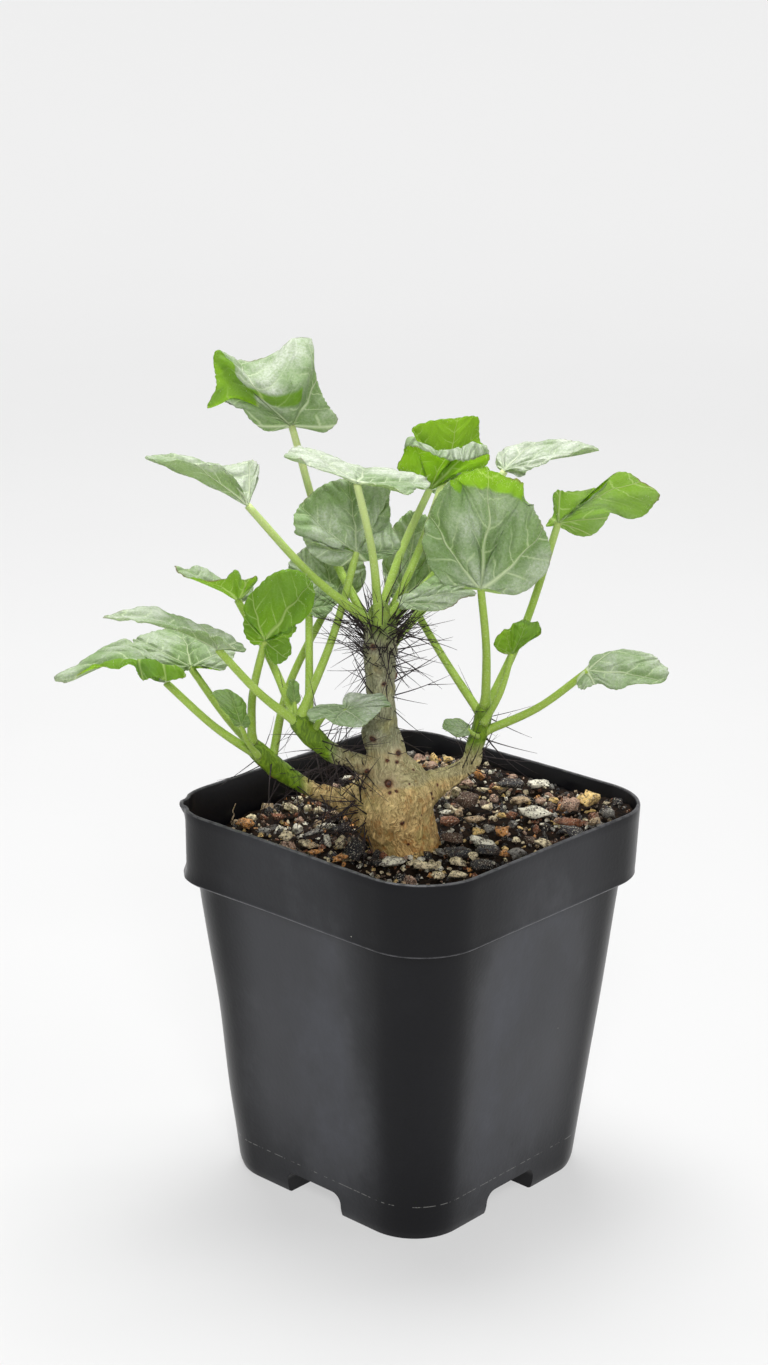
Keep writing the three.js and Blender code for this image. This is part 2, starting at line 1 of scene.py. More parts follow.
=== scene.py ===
# %% [markdown]
# # A potted jatropha marginata
# A swollen caudex carries a slim trunk with dark bristles, three short shoots and felted leaves on long
# stalks. It grows in gritty mix in a square nursery pot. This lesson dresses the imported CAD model, from the
# pot upwards. Lengths are thought of in millimetres and turned into Blender's metres with MM.

# %% Load the fixed frame
import json
import math
import random

import bmesh
import bpy
from mathutils import Matrix, Vector, noise
from mathutils.bvhtree import BVHTree

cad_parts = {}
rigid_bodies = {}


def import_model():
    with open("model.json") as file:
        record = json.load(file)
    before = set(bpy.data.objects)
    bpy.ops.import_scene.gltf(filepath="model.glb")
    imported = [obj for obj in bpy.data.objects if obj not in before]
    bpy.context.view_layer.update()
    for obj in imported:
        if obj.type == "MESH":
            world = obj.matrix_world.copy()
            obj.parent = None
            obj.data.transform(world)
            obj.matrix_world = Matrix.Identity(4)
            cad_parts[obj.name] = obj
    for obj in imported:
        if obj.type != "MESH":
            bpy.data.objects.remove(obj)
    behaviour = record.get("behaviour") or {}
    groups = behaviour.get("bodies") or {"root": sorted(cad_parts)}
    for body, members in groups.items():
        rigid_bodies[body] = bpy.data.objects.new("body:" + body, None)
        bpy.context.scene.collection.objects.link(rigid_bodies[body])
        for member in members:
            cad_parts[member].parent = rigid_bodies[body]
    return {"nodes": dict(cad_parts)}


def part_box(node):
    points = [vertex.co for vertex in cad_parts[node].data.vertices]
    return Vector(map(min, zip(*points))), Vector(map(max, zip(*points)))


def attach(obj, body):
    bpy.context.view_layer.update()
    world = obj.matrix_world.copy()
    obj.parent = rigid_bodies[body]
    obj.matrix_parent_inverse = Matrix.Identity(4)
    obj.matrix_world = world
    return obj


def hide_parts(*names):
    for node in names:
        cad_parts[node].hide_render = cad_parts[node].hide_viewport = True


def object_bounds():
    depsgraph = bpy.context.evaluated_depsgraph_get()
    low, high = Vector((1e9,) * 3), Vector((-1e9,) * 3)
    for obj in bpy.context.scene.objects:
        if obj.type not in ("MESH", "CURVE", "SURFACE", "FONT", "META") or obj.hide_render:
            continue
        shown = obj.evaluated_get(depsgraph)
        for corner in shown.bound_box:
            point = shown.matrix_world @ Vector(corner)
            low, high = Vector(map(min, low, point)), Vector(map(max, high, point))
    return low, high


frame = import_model()
cad_low, cad_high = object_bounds()
MM = 0.001
print("CAD nodes:", len(frame["nodes"]), "size in mm:", [round(v / MM, 1) for v in cad_high - cad_low])

# %% [markdown]
# ## Camera
# The plant was measured in a view frame: x to the right, y away and z up. That frame is turned 42 degrees on
# the pot. The camera was fitted to the pot's rim, collar and base, so it is placed by numbers and not by
# hand.

# %% Place the camera
PLANT_TURN, ELEVATION, ROLL = math.radians(42), math.radians(17.07), math.radians(0.663)
CAMERA_SPOT, LENS, SENSOR = (-8.0, -635.2, 337.4), 64.9, 36
to_row = Matrix.Rotation(PLANT_TURN, 4, "Z")


def linked(name, data):
    """A new object of the scene"""
    made = bpy.data.objects.new(name, data)
    bpy.context.scene.collection.objects.link(made)
    return made


backward = Vector((0, -math.cos(ELEVATION), math.sin(ELEVATION)))
level = Vector((1, 0, 0))
upward = backward.cross(level)
sideways = math.cos(ROLL) * level + math.sin(ROLL) * upward
upward = math.cos(ROLL) * upward - math.sin(ROLL) * level
camera_place = Matrix([list(row) for row in zip(sideways, upward, backward)]).to_4x4()
camera_place.translation = Vector(CAMERA_SPOT) * MM
camera = linked("camera", bpy.data.cameras.new("camera"))
camera.data.lens, camera.data.sensor_width = LENS, SENSOR
camera.matrix_world = to_row @ camera_place
bpy.context.scene.camera = camera
print("camera at", [round(v, 3) for v in camera.matrix_world.translation])

# %% Rays through the photograph, and the view frame
PHOTO_WIDTH, PHOTO_HEIGHT = 768, 1365


def through_pixel(x, y):
    """The ray of a pixel of the photograph, as a start and a direction"""
    focal = camera.data.lens / camera.data.sensor_width * PHOTO_HEIGHT
    way = Vector(((x - PHOTO_WIDTH / 2) / focal, (PHOTO_HEIGHT / 2 - y) / focal, -1))
    return camera.matrix_world.translation, (camera.matrix_world.to_3x3() @ way).normalized()


def seen_on(surface, x, y):
    """Where the ray of a pixel meets a surface, and the direction of the ray"""
    start, way = through_pixel(x, y)
    return surface.ray_cast(start, way)[0], way


def in_view(p):
    """A place of the scene as a point of the view frame, in millimetres"""
    return to_row.inverted() @ p / MM


def from_view(p):
    """A point of the view frame as a place of the scene"""
    return to_row @ Vector(p) * MM


# %% [markdown]
# ## Small helpers
# A mesh is written as plain lists of points and faces, and a shader as steps that feed each other. The
# helpers keep both short. Those for nodes add to the tree at hand, which is always called tree. A finished
# object sits at the origin, with its place in its mesh.

# %% Helpers for meshes
def mesh_object(name, points, faces):
    """A smooth object from points in metres and faces"""
    mesh = bpy.data.meshes.new(name)
    mesh.from_pydata([tuple(p) for p in points], [], faces)
    mesh.update()
    mesh.polygons.foreach_set("use_smooth", [True] * len(mesh.polygons))
    return linked(name, mesh)


def held_in_box(p):
    """The point, or the nearest one inside the CAD box"""
    return Vector([min(max(p[k], cad_low[k]), cad_high[k]) for k in range(3)])


def part_way(value, low, high):
    """0 up to low, 1 from high on, and a straight climb between them"""
    return min(1, max(0, (value - low) / (high - low)))


def store(mesh, name, values):
    """Keeps one number for each point of a mesh"""
    mesh.attributes.new(name, "FLOAT", "POINT").data.foreach_set("value", values)


def surface_of(made):
    """The faces of an object, for rays and for the nearest place"""
    mesh = made.data
    return BVHTree.FromPolygons([v.co for v in mesh.vertices], [p.vertices[:] for p in mesh.polygons])


def baked(made):
    """The mesh of an object with its modifiers applied, which are then taken off"""
    graph = bpy.context.evaluated_depsgraph_get()
    mesh = bpy.data.meshes.new_from_object(made.evaluated_get(graph))
    made.modifiers.clear()
    return mesh


def disc_faces(rings, count):
    """A fan round point 0 and bands from each ring of points to the next"""
    faces = [(0, 1 + j, 1 + (j + 1) % count) for j in range(count)]
    for i in range(rings - 1):
        for j in range(count):
            a, b = 1 + i * count + j, 1 + i * count + (j + 1) % count
            faces.append((a, a + count, b + count, b))
    return faces


def wrapped(work, points):
    """Puts the convex hull of points into a bmesh"""
    for p in points:
        work.verts.new(p)
    hull = bmesh.ops.convex_hull(work, input=work.verts)
    inner = [v for v in hull["geom_interior"] if isinstance(v, bmesh.types.BMVert)]
    bmesh.ops.delete(work, geom=inner, context="VERTS")


def smoothed(work):
    """Moves each point of a bmesh half the way to the middle of its neighbours"""
    every_way = dict(use_axis_x=True, use_axis_y=True, use_axis_z=True)
    bmesh.ops.smooth_vert(work, verts=work.verts, factor=0.5, **every_way)


# %% Helpers for nodes
def feed(node, sockets):
    """Links sockets of a node to other sockets or sets them to values; a colour is given as three numbers"""
    for key, value in sockets.items():
        if isinstance(value, bpy.types.NodeSocket):
            tree.links.new(value, node.inputs[key])
        else:
            node.inputs[key].default_value = (*value, 1) if node.inputs[key].type == "RGBA" else value


def step(kind, sockets=None, **settings):
    """A new node"""
    made = tree.nodes.new(kind)
    for key, value in settings.items():
        setattr(made, key, value)
    feed(made, sockets or {})
    return made


def sums(operation, a, b=0.0, c=0.0, clamp=False):
    """One Math node"""
    return step("ShaderNodeMath", {0: a, 1: b, 2: c}, operation=operation, use_clamp=clamp).outputs[0]


def times(a, b):
    return sums("MULTIPLY", a, b)


def plus(a, b):
    return sums("ADD", a, b)


def minus(a, b):
    return sums("SUBTRACT", a, b)


def larger(a, b):
    return sums("MAXIMUM", a, b)


def unsigned(a):
    return sums("ABSOLUTE", a)


def vector(operation, a, b=(0, 0, 0)):
    """One Vector Math node, which gives a number for a length or a dot product"""
    made = step("ShaderNodeVectorMath", {0: a, 1: b}, operation=operation)
    return made.outputs["Value" if operation in ("LENGTH", "DOT_PRODUCT") else "Vector"]


def fade(value, low, high, start=0.0, end=1.0):
    """A smooth change from start to end while value goes from low to high"""
    sockets = {"Value": value, "From Min": low, "From Max": high, "To Min": start, "To Max": end}
    return step("ShaderNodeMapRange", sockets, interpolation_type="SMOOTHSTEP").outputs[0]


def tint(factor, a, b):
    """One colour mix"""
    return step("ShaderNodeMix", {0: factor, 6: a, 7: b}, data_type="RGBA").outputs[2]


def cloud(place, scale, detail=3.0, roughness=0.5):
    """One noise value"""
    sockets = {"Vector": place, "Scale": scale, "Detail": detail, "Roughness": roughness}
    return step("ShaderNodeTexNoise", sockets).outputs["Fac"]


def scaled(place, scale):
    """Coordinates scaled on each axis"""
    return step("ShaderNodeMapping", {"Vector": place, "Scale": scale}).outputs[0]


def object_place(scale=(1, 1, 1)):
    """Object coordinates in metres, scaled on each axis"""
    return scaled(step("ShaderNodeTexCoord").outputs["Object"], scale)


def height_of(place):
    return step("ShaderNodeSeparateXYZ", {0: place}).outputs["Z"]


def mark(name):
    """What a mesh keeps under a name for each point"""
    return step("ShaderNodeAttribute", attribute_name=name).outputs["Fac"]


def bump(height, strength, distance):
    """A normal that is tipped by a height"""
    return step("ShaderNodeBump", {"Height": height, "Strength": strength, "Distance": distance}).outputs[0]


def finish(name):
    """A new material with its tree and its Principled shader"""
    material = bpy.data.materials.new(name)
    material.use_nodes = True
    return material, material.node_tree, material.node_tree.nodes["Principled BSDF"]


def pattern_group(name, takes, gives):
    """A shader group with one vector going in and numbers coming out"""
    group = bpy.data.node_groups.new(name, "ShaderNodeTree")
    group.interface.new_socket(takes, in_out="INPUT", socket_type="NodeSocketVector")
    for given in gives:
        group.interface.new_socket(given, in_out="OUTPUT", socket_type="NodeSocketFloat")
    return group, group.nodes.new("NodeGroupInput").outputs[takes], group.nodes.new("NodeGroupOutput")


# %% [markdown]
# ## Floor and light
# The real plant stands on a pale sweep of paper under wide soft lamps. The floor is one round sheet that
# turns up far away, so no horizon shows from any side. A large lamp hangs overhead and behind, which makes
# the leaves glow. The sky is darker on the camera's side, as a room is behind the photographer, and the black
# pot reflects that.

# %% Pale floor that curves up all round
def sweep_floor(flat=1.5, rise=1.1, sides=96, steps=14, flat_rings=2):
    """Rings of a shallow bowl round the object"""
    points = [(0, 0, 0)]
    for k in range(steps + 1):
        angle = math.radians(90) * max(0, k - flat_rings) / (steps - flat_rings)
        reach = flat * (k + 1) / (flat_rings + 1) if k < flat_rings else flat + rise * math.sin(angle)
        height = 0 if k < flat_rings else rise * (1 - math.cos(angle))
        for j in range(sides):
            turn = 2 * math.pi * j / sides
            points.append((reach * math.cos(turn), reach * math.sin(turn), height))
    return mesh_object("studio_floor", points, disc_faces(steps + 1, sides))


paper, tree, shader = finish("studio_paper")
shade = tint(cloud(object_place(), 6), (0.24, 0.24, 0.24), (0.26, 0.26, 0.26))
from_plant = vector("LENGTH", object_place())
feed(shader, {"Base Color": shade, "Roughness": 0.9, "Emission Color": (1, 1, 1),
              "Emission Strength": fade(from_plant, 0.35, 2.15, 0.52, 0.74)})
studio_floor = sweep_floor()
studio_floor.data.materials.append(paper)
print("floor", [round(v, 2) for v in studio_floor.dimensions])

# %% Soft lamps and the sky
def soft_lamp(name, spot, size, power):
    """An area lamp at a spot of the view frame, aimed at the plant"""
    lamp = linked(name, bpy.data.lights.new(name, "AREA"))
    lamp.data.size, lamp.data.energy = size, power
    place = to_row @ Vector(spot)
    aim = Vector((0, 0, 0.13)) - place
    lamp.matrix_world = Matrix.Translation(place) @ aim.to_track_quat("-Z", "Y").to_matrix().to_4x4()


soft_lamp("overhead", (-0.08, 0.3, 1.3), 0.65, 24)
soft_lamp("front", (0.05, -1.05, 0.8), 0.35, 8)
soft_lamp("right_side", (1.2, -0.2, 0.6), 0.6, 2)
world = bpy.data.worlds.new("studio_sky")
world.use_nodes = True
tree = world.node_tree
way = step("ShaderNodeTexCoord").outputs["Generated"]
behind = vector("DOT_PRODUCT", way, to_row @ Vector((0, 1, 0.4)))
feed(tree.nodes["Background"], {"Strength": fade(behind, -0.9, 0.3, 0.14, 0.36)})
bpy.context.scene.world = world
bpy.context.scene.view_settings.view_transform = "Standard"

# %% [markdown]
# ## Pot shell
# A nursery pot is blown or pressed from thin black plastic: a square with round corners that tapers down, and
# a wider collar with a sharp lower lip. The CAD node has the true sizes, but its corners show facets. A finer
# shell is lofted from the same sizes here. Each ring is a rounded square, and small bends are added
# afterwards.

# %% Sizes of the pot
pot_low, pot_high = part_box("pot")
RIM = round((pot_high.x - pot_low.x) / MM, 1)
POT_HEIGHT = pot_high.z / MM
COLLAR_DEPTH = 20.1
COLLAR_FOOT = POT_HEIGHT - COLLAR_DEPTH
COLLAR_WIDTH, NECK, BASE = 98.7, 93.1, 75.9
BASE_CORNER, NECK_CORNER, COLLAR_CORNER, RIM_CORNER, INSIDE_CORNER = 15.4, 18, 18.2, 19, 17
WALL = 1.2
NOTCH_WIDTH, NOTCH_HEIGHT, CHANNEL_REACH = 20.0, 7.0, 23.0
DRAIN = 9.0
print("pot rim and height in mm:", RIM, round(POT_HEIGHT, 1))

# %% Loft of rounded squares
CORNER_STEPS, SIDE_STEPS = 18, 22


def rounded_square(width, corner, height):
    """One ring of the pot, in millimetres, counterclockwise"""
    reach = width / 2 - corner
    ring = []
    for quarter in range(4):
        middle = math.radians(45 + 90 * quarter)
        cx, cy = math.copysign(reach, math.cos(middle)), math.copysign(reach, math.sin(middle))
        for i in range(CORNER_STEPS + 1):
            angle = math.radians(90 * quarter + 90 * i / CORNER_STEPS)
            ring.append(Vector((cx + corner * math.cos(angle), cy + corner * math.sin(angle), height)))
        start, turn = ring[-1], math.radians(90 * quarter + 90)
        along = Vector((-math.sin(turn), math.cos(turn), 0)) * (2 * reach)
        ring.extend(start + along * (i / SIDE_STEPS) for i in range(1, SIDE_STEPS))
    return ring


def loft(rings):
    """Closed skin over rings of equal count, with a middle point at each end"""
    count = len(rings[0])
    points = [p for ring in rings for p in ring]
    faces = []
    for i in range(len(rings) - 1):
        for j in range(count):
            a, b = i * count + j, i * count + (j + 1) % count
            faces.append((a, b, b + count, a + count))
    for ring, flip in ((0, True), (len(rings) - 1, False)):
        points.append(sum(rings[ring], Vector()) / count)
        for j in range(count):
            a, b = ring * count + j, ring * count + (j + 1) % count
            faces.append((b, a, len(points) - 1) if flip else (a, b, len(points) - 1))
    return points, faces


# %% Inner and outer rings of the shell
def pot_rings():
    """Rings up the outside, over the rim and down the inside to the floor"""
    slope = lambda z: BASE + (NECK - BASE) * z / COLLAR_FOOT
    rings = [(BASE - 2.4, 14.2, 0), (BASE - 0.9, 15, 0.4), (BASE, BASE_CORNER, 1.6)]
    heights = [3 + 2.9 * k for k in range(30) if 3 + 2.9 * k < COLLAR_FOOT - 1]
    rings += [(slope(z), BASE_CORNER + 2.6 * z / COLLAR_FOOT, z) for z in heights]
    rings += [(NECK, NECK_CORNER, COLLAR_FOOT - 0.1), (NECK + 0.2, NECK_CORNER, COLLAR_FOOT)]
    lip = ((COLLAR_WIDTH - 0.4, 0.02), (COLLAR_WIDTH, 0.3), (COLLAR_WIDTH - 0.1, 0.8))
    rings += [(width, COLLAR_CORNER, COLLAR_FOOT + up) for width, up in lip]
    rings += [(COLLAR_WIDTH + (RIM - COLLAR_WIDTH) * share, COLLAR_CORNER + 0.8 * share,
               COLLAR_FOOT + 0.8 + (COLLAR_DEPTH - 1.5) * share) for share in (k / 9 for k in range(1, 9))]
    rings += [(RIM, RIM_CORNER, POT_HEIGHT - 0.6), (RIM - 0.3, 18.85, POT_HEIGHT - 0.15)]
    rings += [(RIM - 0.9, 18.6, POT_HEIGHT), (RIM - 1.9, 18.1, POT_HEIGHT - 0.05)]
    rings += [(RIM - 2.4, 17.8, POT_HEIGHT - 0.5)]
    rings += [(COLLAR_WIDTH - 2 * WALL, INSIDE_CORNER, COLLAR_FOOT + 2.6)]
    rings += [(NECK - 2 * WALL, 16.8, COLLAR_FOOT + 1)]
    rings += [(slope(z) - 2 * WALL, 14.2 + 2.6 * z / COLLAR_FOOT, z) for z in (60, 30, 9.5)]
    return [rounded_square(*ring) for ring in rings]


shell_points, shell_faces = loft(pot_rings())
print("pot shell:", len(shell_points), "points")

# %% [markdown]
# ## Small bends in the plastic
# Thin plastic is never quite true. The walls bow a little, the collar is creased at its left corner and the
# rim is pinched out there. Moving the points of the shell by a smooth rule is enough, and the table face
# stays flat.

# %% Bend the shell
LEFT_CORNER = Vector((-1, -1, 0)).normalized()


def bend_plastic(p):
    """One point of the shell after handling and heat"""
    out = Vector((p.x, p.y, 0))
    away = out.normalized() if out.length > 1 else Vector((1, 0, 0))
    bow = noise.noise(Vector((p.x, p.y, p.z)) / 34) * 0.55 * part_way(p.z, 12, 32)
    corner = max(0, away.dot(LEFT_CORNER))
    collar = 1 / (1 + math.exp(-(p.z - COLLAR_FOOT) * 2))
    crease = -0.9 * math.exp(-((1 - corner) / 0.0035) ** 2) * collar
    spur = 1.6 * math.exp(-((1 - corner) / 0.0012) ** 2) * math.exp(-((p.z - POT_HEIGHT) / 2.2) ** 2)
    flare = 0.5 * math.exp(-((p.z - COLLAR_FOOT - 0.4) / 1.4) ** 2) * (corner ** 8)
    return p + away * (bow + crease + spur + flare)


pot_shell = mesh_object("pot_shell", [held_in_box(bend_plastic(p) * MM) for p in shell_points], shell_faces)
print("pot shell in mm:", [round(v / MM, 1) for v in pot_shell.dimensions])

# %% [markdown]
# ## Feet and drainage
# A channel runs in from the foot of each side to a drainage hole, so the pot stands on four feet. Each
# channel has a roof inside the pot, and the roofs are joined to the shell first. The channels and the holes
# are then cut, with a Boolean modifier, which is the quickest way to a clean edge on a closed shell.

# %% Cutters for channels and holes
def bar(profile, near, far, turn):
    """A straight bar through the pot wall: profile of x and z, from near to far outwards"""
    count = len(profile)
    spin = Matrix.Rotation(turn, 3, "Z")
    points = [spin @ Vector((x, -y, z)) * MM for y in (near, far) for x, z in profile]
    faces = [(j, (j + 1) % count, count + (j + 1) % count, count + j) for j in range(count)]
    faces += [tuple(range(count - 1, -1, -1)), tuple(range(count, 2 * count))]
    return points, faces


def arch(grow, low):
    """The outline of a channel, round at its top corners"""
    half, top, round_off = NOTCH_WIDTH / 2 + grow, NOTCH_HEIGHT + grow, 3 + grow
    cx, cz = half - round_off, top - round_off
    turns = [math.radians(90 * i / 6) for i in range(7)]
    side = [(half, low)] + [(cx + round_off * math.cos(a), cz + round_off * math.sin(a)) for a in turns]
    return side + [(-x, z) for x, z in reversed(side)]


def gather(name, parts):
    """Several point and face lists as one object, with its faces turned outwards"""
    points, faces = [], []
    for some_points, some_faces in parts:
        faces += [tuple(i + len(points) for i in face) for face in some_faces]
        points += some_points
    made = mesh_object(name, points, faces)
    work = bmesh.new()
    work.from_mesh(made.data)
    bmesh.ops.recalc_face_normals(work, faces=work.faces)
    work.to_mesh(made.data)
    work.free()
    return made


def drain_hole(turn, sides=32):
    """A round bar through the pot's floor at the end of a channel"""
    turns = [2 * math.pi * k / sides for k in range(sides)]
    circle = [(DRAIN / 2 * math.cos(a), DRAIN / 2 * math.sin(a)) for a in turns]
    spin = Matrix.Rotation(turn, 3, "Z")
    points, faces = loft([[spin @ Vector((x, y - hole_at, z)) for x, y in circle] for z in (-1, 20)])
    return [p * MM for p in points], faces


quarters = [math.radians(90 * k) for k in range(4)]
inner_end = BASE / 2 - CHANNEL_REACH
hole_at = inner_end + DRAIN / 2 + 2
channels = [bar(arch(0, -5), inner_end, BASE, turn) for turn in quarters]
holes = [drain_hole(turn) for turn in quarters]
print("channels and holes:", len(channels), len(holes))

# %% Cut the shell
def cut(target, cutter, operation="DIFFERENCE"):
    """Applies one Boolean and removes its cutter"""
    modifier = target.modifiers.new("cut", "BOOLEAN")
    modifier.operation, modifier.object, modifier.solver = operation, cutter, "EXACT"
    modifier.use_self = False
    target.data = baked(target)
    bpy.data.objects.remove(cutter)


for turn in quarters:
    cut(pot_shell, gather("roof", [bar(arch(WALL, 0.5), inner_end - WALL, BASE / 2 - 0.6, turn)]), "UNION")
cut(pot_shell, gather("channel_cutters", channels))
cut(pot_shell, gather("hole_cutters", holes))
pot_shell.data.polygons.foreach_set("use_smooth", [True] * len(pot_shell.data.polygons))
pot_shell.data.set_sharp_from_angle(angle=math.radians(38))
print("pot faces:", len(pot_shell.data.polygons))

# %% [markdown]
# ## Plastic finish
# The black plastic is filmed with pale dust that was wiped downwards, so the haze is blue grey and streaky.
# It is duller where the dust lies. A mould seam runs round the foot and shows as a broken pale line, and a
# few white specks of grit stick to the walls.

# %% Dust as a shader group
dust_group, place, leave = pattern_group("wiped_dust", "Place", ("Film", "Speck"))
tree = dust_group
streaky = scaled(place, (1, 1, 0.7))
broad = fade(cloud(streaky, 20, 5, 0.62), 0.38, 0.68)
fine = fade(cloud(streaky, 240, 4, 0.7), 0.35, 0.7, 0.7, 1.0)
cells = step("ShaderNodeTexVoronoi", {"Vector": place, "Scale": 210.0})
near = fade(cells.outputs["Distance"], 0.02, 0.045, 1.0, 0.0)
rare = sums("GREATER_THAN", step("ShaderNodeSeparateColor", {0: cells.outputs["Color"]}).outputs[0], 0.965)
feed(leave, {"Film": times(broad, fine), "Speck": times(near, rare)})
print("dust group:", len(tree.nodes), "nodes")

# %% Black plastic
plastic, tree, shader = finish("black_nursery_plastic")
place = object_place()
dust = step("ShaderNodeGroup", {"Place": place}, node_tree=dust_group)
split = step("ShaderNodeSeparateXYZ", {0: place})
high = split.outputs["Z"]
flat_out = vector("NORMALIZE", vector("MULTIPLY", place, (1, 1, 0)))
facing = step("ShaderNodeNewGeometry").outputs["Normal"]
outside = fade(vector("DOT_PRODUCT", facing, flat_out), -0.1, 0.4)
least = sums("MINIMUM", unsigned(split.outputs["X"]), unsigned(split.outputs["Y"]))
# Darker towards the corners: the dust film thins out there.
thinner_at_corners = fade(sums("DIVIDE", least, BASE / 2 * MM), 0.30, 0.80, 1.0, 0.05)
on_collar = fade(high, COLLAR_FOOT * MM, (COLLAR_FOOT + 1) * MM, 1.0, 0.5)
handled = times(fade(high, 0.004, 0.030, 0.35, 1.0), on_collar)
film = times(fade(dust.outputs["Film"], 0.0, 1.0, 0.42, 1.0), handled)
film = times(film, times(thinner_at_corners, outside))
speck = times(dust.outputs["Speck"], outside)


def line_at(height, width):
    """1 on a level line round the pot"""
    return fade(unsigned(minus(high, height * MM)), 0.3 * width * MM, width * MM, 1.0, 0.0)


broken = fade(cloud(object_place((1, 1, 0.2)), 420, 4, 0.7), 0.47, 0.55)
seam = times(line_at(10.8, 0.16), broken)
# Painted highlight: pale thin lines along the collar's lower lip and the rim's top edge, where the lamps
# would catch the rounded edges; the noise called worn breaks them up.
worn = fade(cloud(place, 380, 4, 0.7), 0.35, 0.6, 0.35, 1.0)
edges = times(larger(line_at(COLLAR_FOOT + 0.15, 0.45), line_at(POT_HEIGHT, 0.5)), worn)
shade = tint(film, (0.0030, 0.0030, 0.0042), (0.054, 0.057, 0.068))
shade = tint(times(edges, 0.5), shade, (0.16, 0.16, 0.17))
shade = tint(times(seam, 0.7), shade, (0.22, 0.22, 0.21))
shade = tint(speck, shade, (0.45, 0.43, 0.38))
feed(shader, {"Base Color": shade, "Roughness": fade(film, 0, 1, 0.30, 0.55),
              "Specular IOR Level": fade(film, 0, 0.5, 0.2, 0.4),
              "Normal": bump(cloud(place, 900, 2), 0.12, 0.0003)})
pot_shell.data.materials.clear()
pot_shell.data.materials.append(plastic)
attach(pot_shell, "root")
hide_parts("pot")

# %% [markdown]
# ## Repeats by Geometry Nodes
# Stones, grains, bristles and hairs all repeat a few shapes over a surface. One Geometry Nodes tree does it
# for all of them: it scatters points, picks a shape for each, turns it, and keeps a random tone for the
# shader to read. The result is made real and copied into a plain mesh, because instances don't survive the
# export.

# %% A tree that scatters shapes
scatter = tree = bpy.data.node_groups.new("scatter_shapes", "GeometryNodeTree")
wanted = {"Surface": "Geometry", "Shapes": "Collection", "Spacing": "Float", "Density": "Float",
          "Smallest": "Float", "Largest": "Float", "Lean": "Float", "Kinds": "Int", "Seed": "Int",
          "Finish": "Material"}
new_socket = tree.interface.new_socket
socket_of = {label: new_socket(label, in_out="INPUT", socket_type="NodeSocket" + kind).identifier
             for label, kind in wanted.items()}
new_socket("Scattered", in_out="OUTPUT", socket_type="NodeSocketGeometry")
entry, leave = tree.nodes.new("NodeGroupInput").outputs, tree.nodes.new("NodeGroupOutput")
seed, lean = entry["Seed"], entry["Lean"]
grow = step("GeometryNodeInputNamedAttribute", {"Name": "grow"}, data_type="FLOAT").outputs["Attribute"]
spots = step("GeometryNodeDistributePointsOnFaces", {
    "Mesh": entry["Surface"], "Distance Min": entry["Spacing"], "Density Max": entry["Density"],
    "Density Factor": grow, "Seed": seed}, distribute_method="POISSON")
shapes = step("GeometryNodeCollectionInfo", {
    "Collection": entry["Shapes"], "Separate Children": True, "Reset Children": True}).outputs["Instances"]
last = minus(entry["Kinds"], 1)
pick = step("FunctionNodeRandomValue", {"Max": last, "Seed": seed}, data_type="INT")
least = step("ShaderNodeCombineXYZ", {0: times(lean, -1.0), 1: times(lean, -1.0), 2: -math.pi}).outputs[0]
most = step("ShaderNodeCombineXYZ", {0: lean, 1: lean, 2: math.pi}).outputs[0]
turn = step("FunctionNodeRandomValue", {"Seed": seed}, data_type="FLOAT_VECTOR")
feed(turn, {0: least, 1: most})
euler = step("FunctionNodeEulerToRotation", {0: turn.outputs[0]}).outputs[0]
turned = step("FunctionNodeRotateRotation", {0: spots.outputs["Rotation"], 1: euler}, rotation_space="LOCAL")
sizes = {2: entry["Smallest"], 3: entry["Largest"], "Seed": seed}
size = step("FunctionNodeRandomValue", sizes, data_type="FLOAT")
placed = step("GeometryNodeInstanceOnPoints", {
    "Points": spots.outputs["Points"], "Instance": shapes, "Pick Instance": True,
    "Instance Index": pick.outputs[2], "Rotation": turned.outputs[0], "Scale": size.outputs[1]})
tone = step("FunctionNodeRandomValue", {"Seed": plus(seed, 5)}, data_type="FLOAT")
kept = {"Geometry": placed.outputs[0], "Name": "tone", "Value": tone.outputs[1]}
marked = step("GeometryNodeStoreNamedAttribute", kept, data_type="FLOAT", domain="INSTANCE")
real = step("GeometryNodeRealizeInstances", {0: marked.outputs[0]})
done = step("GeometryNodeSetMaterial", {"Geometry": real.outputs[0], "Material": entry["Finish"]})
feed(leave, {0: done.outputs[0]})
print("scatter inputs:", list(socket_of))

# %% Scatter shapes over a surface and keep the result
def scattered(name, surface, shapes, material, spacing, density, sizes, lean, seed):
    """A plain mesh of copies of shapes over a surface that carries the attribute grow"""
    stock = bpy.data.collections.new(name + "_shapes")
    bpy.context.scene.collection.children.link(stock)
    for shape in shapes:
        bpy.context.scene.collection.objects.unlink(shape)
        stock.objects.link(shape)
    modifier = surface.modifiers.new("scatter", "NODES")
    modifier.node_group = scatter
    values = {"Shapes": stock, "Spacing": spacing * MM, "Density": density / MM ** 2, "Smallest": sizes[0],
              "Largest": sizes[1], "Lean": lean, "Kinds": len(shapes), "Seed": seed, "Finish": material}
    for key, value in values.items():
        modifier[socket_of[key]] = value
    mesh = baked(surface)
    for shape in list(stock.objects):
        bpy.data.objects.remove(shape)
    bpy.data.collections.remove(stock)
    for vert in mesh.vertices:
        vert.co = held_in_box(vert.co)
    mesh.name = name
    print(name, len(mesh.polygons), "faces")
    return linked(name, mesh)


# %% Smooth lines and tubes
def between(p0, p1, p2, p3, t):
    """A place between p1 and p2 on a centripetal Catmull-Rom line"""
    d0, d1, d2 = (max((b - a).length ** 0.5, 1e-6) for a, b in ((p0, p1), (p1, p2), (p2, p3)))
    m1 = ((p1 - p0) / d0 - (p2 - p0) / (d0 + d1) + (p2 - p1) / d1) * d1
    m2 = ((p2 - p1) / d1 - (p3 - p1) / (d1 + d2) + (p3 - p2) / d2) * d1
    return p1 + m1 * t + (3 * (p2 - p1) - 2 * m1 - m2) * t ** 2 + (2 * (p1 - p2) + m1 + m2) * t ** 3


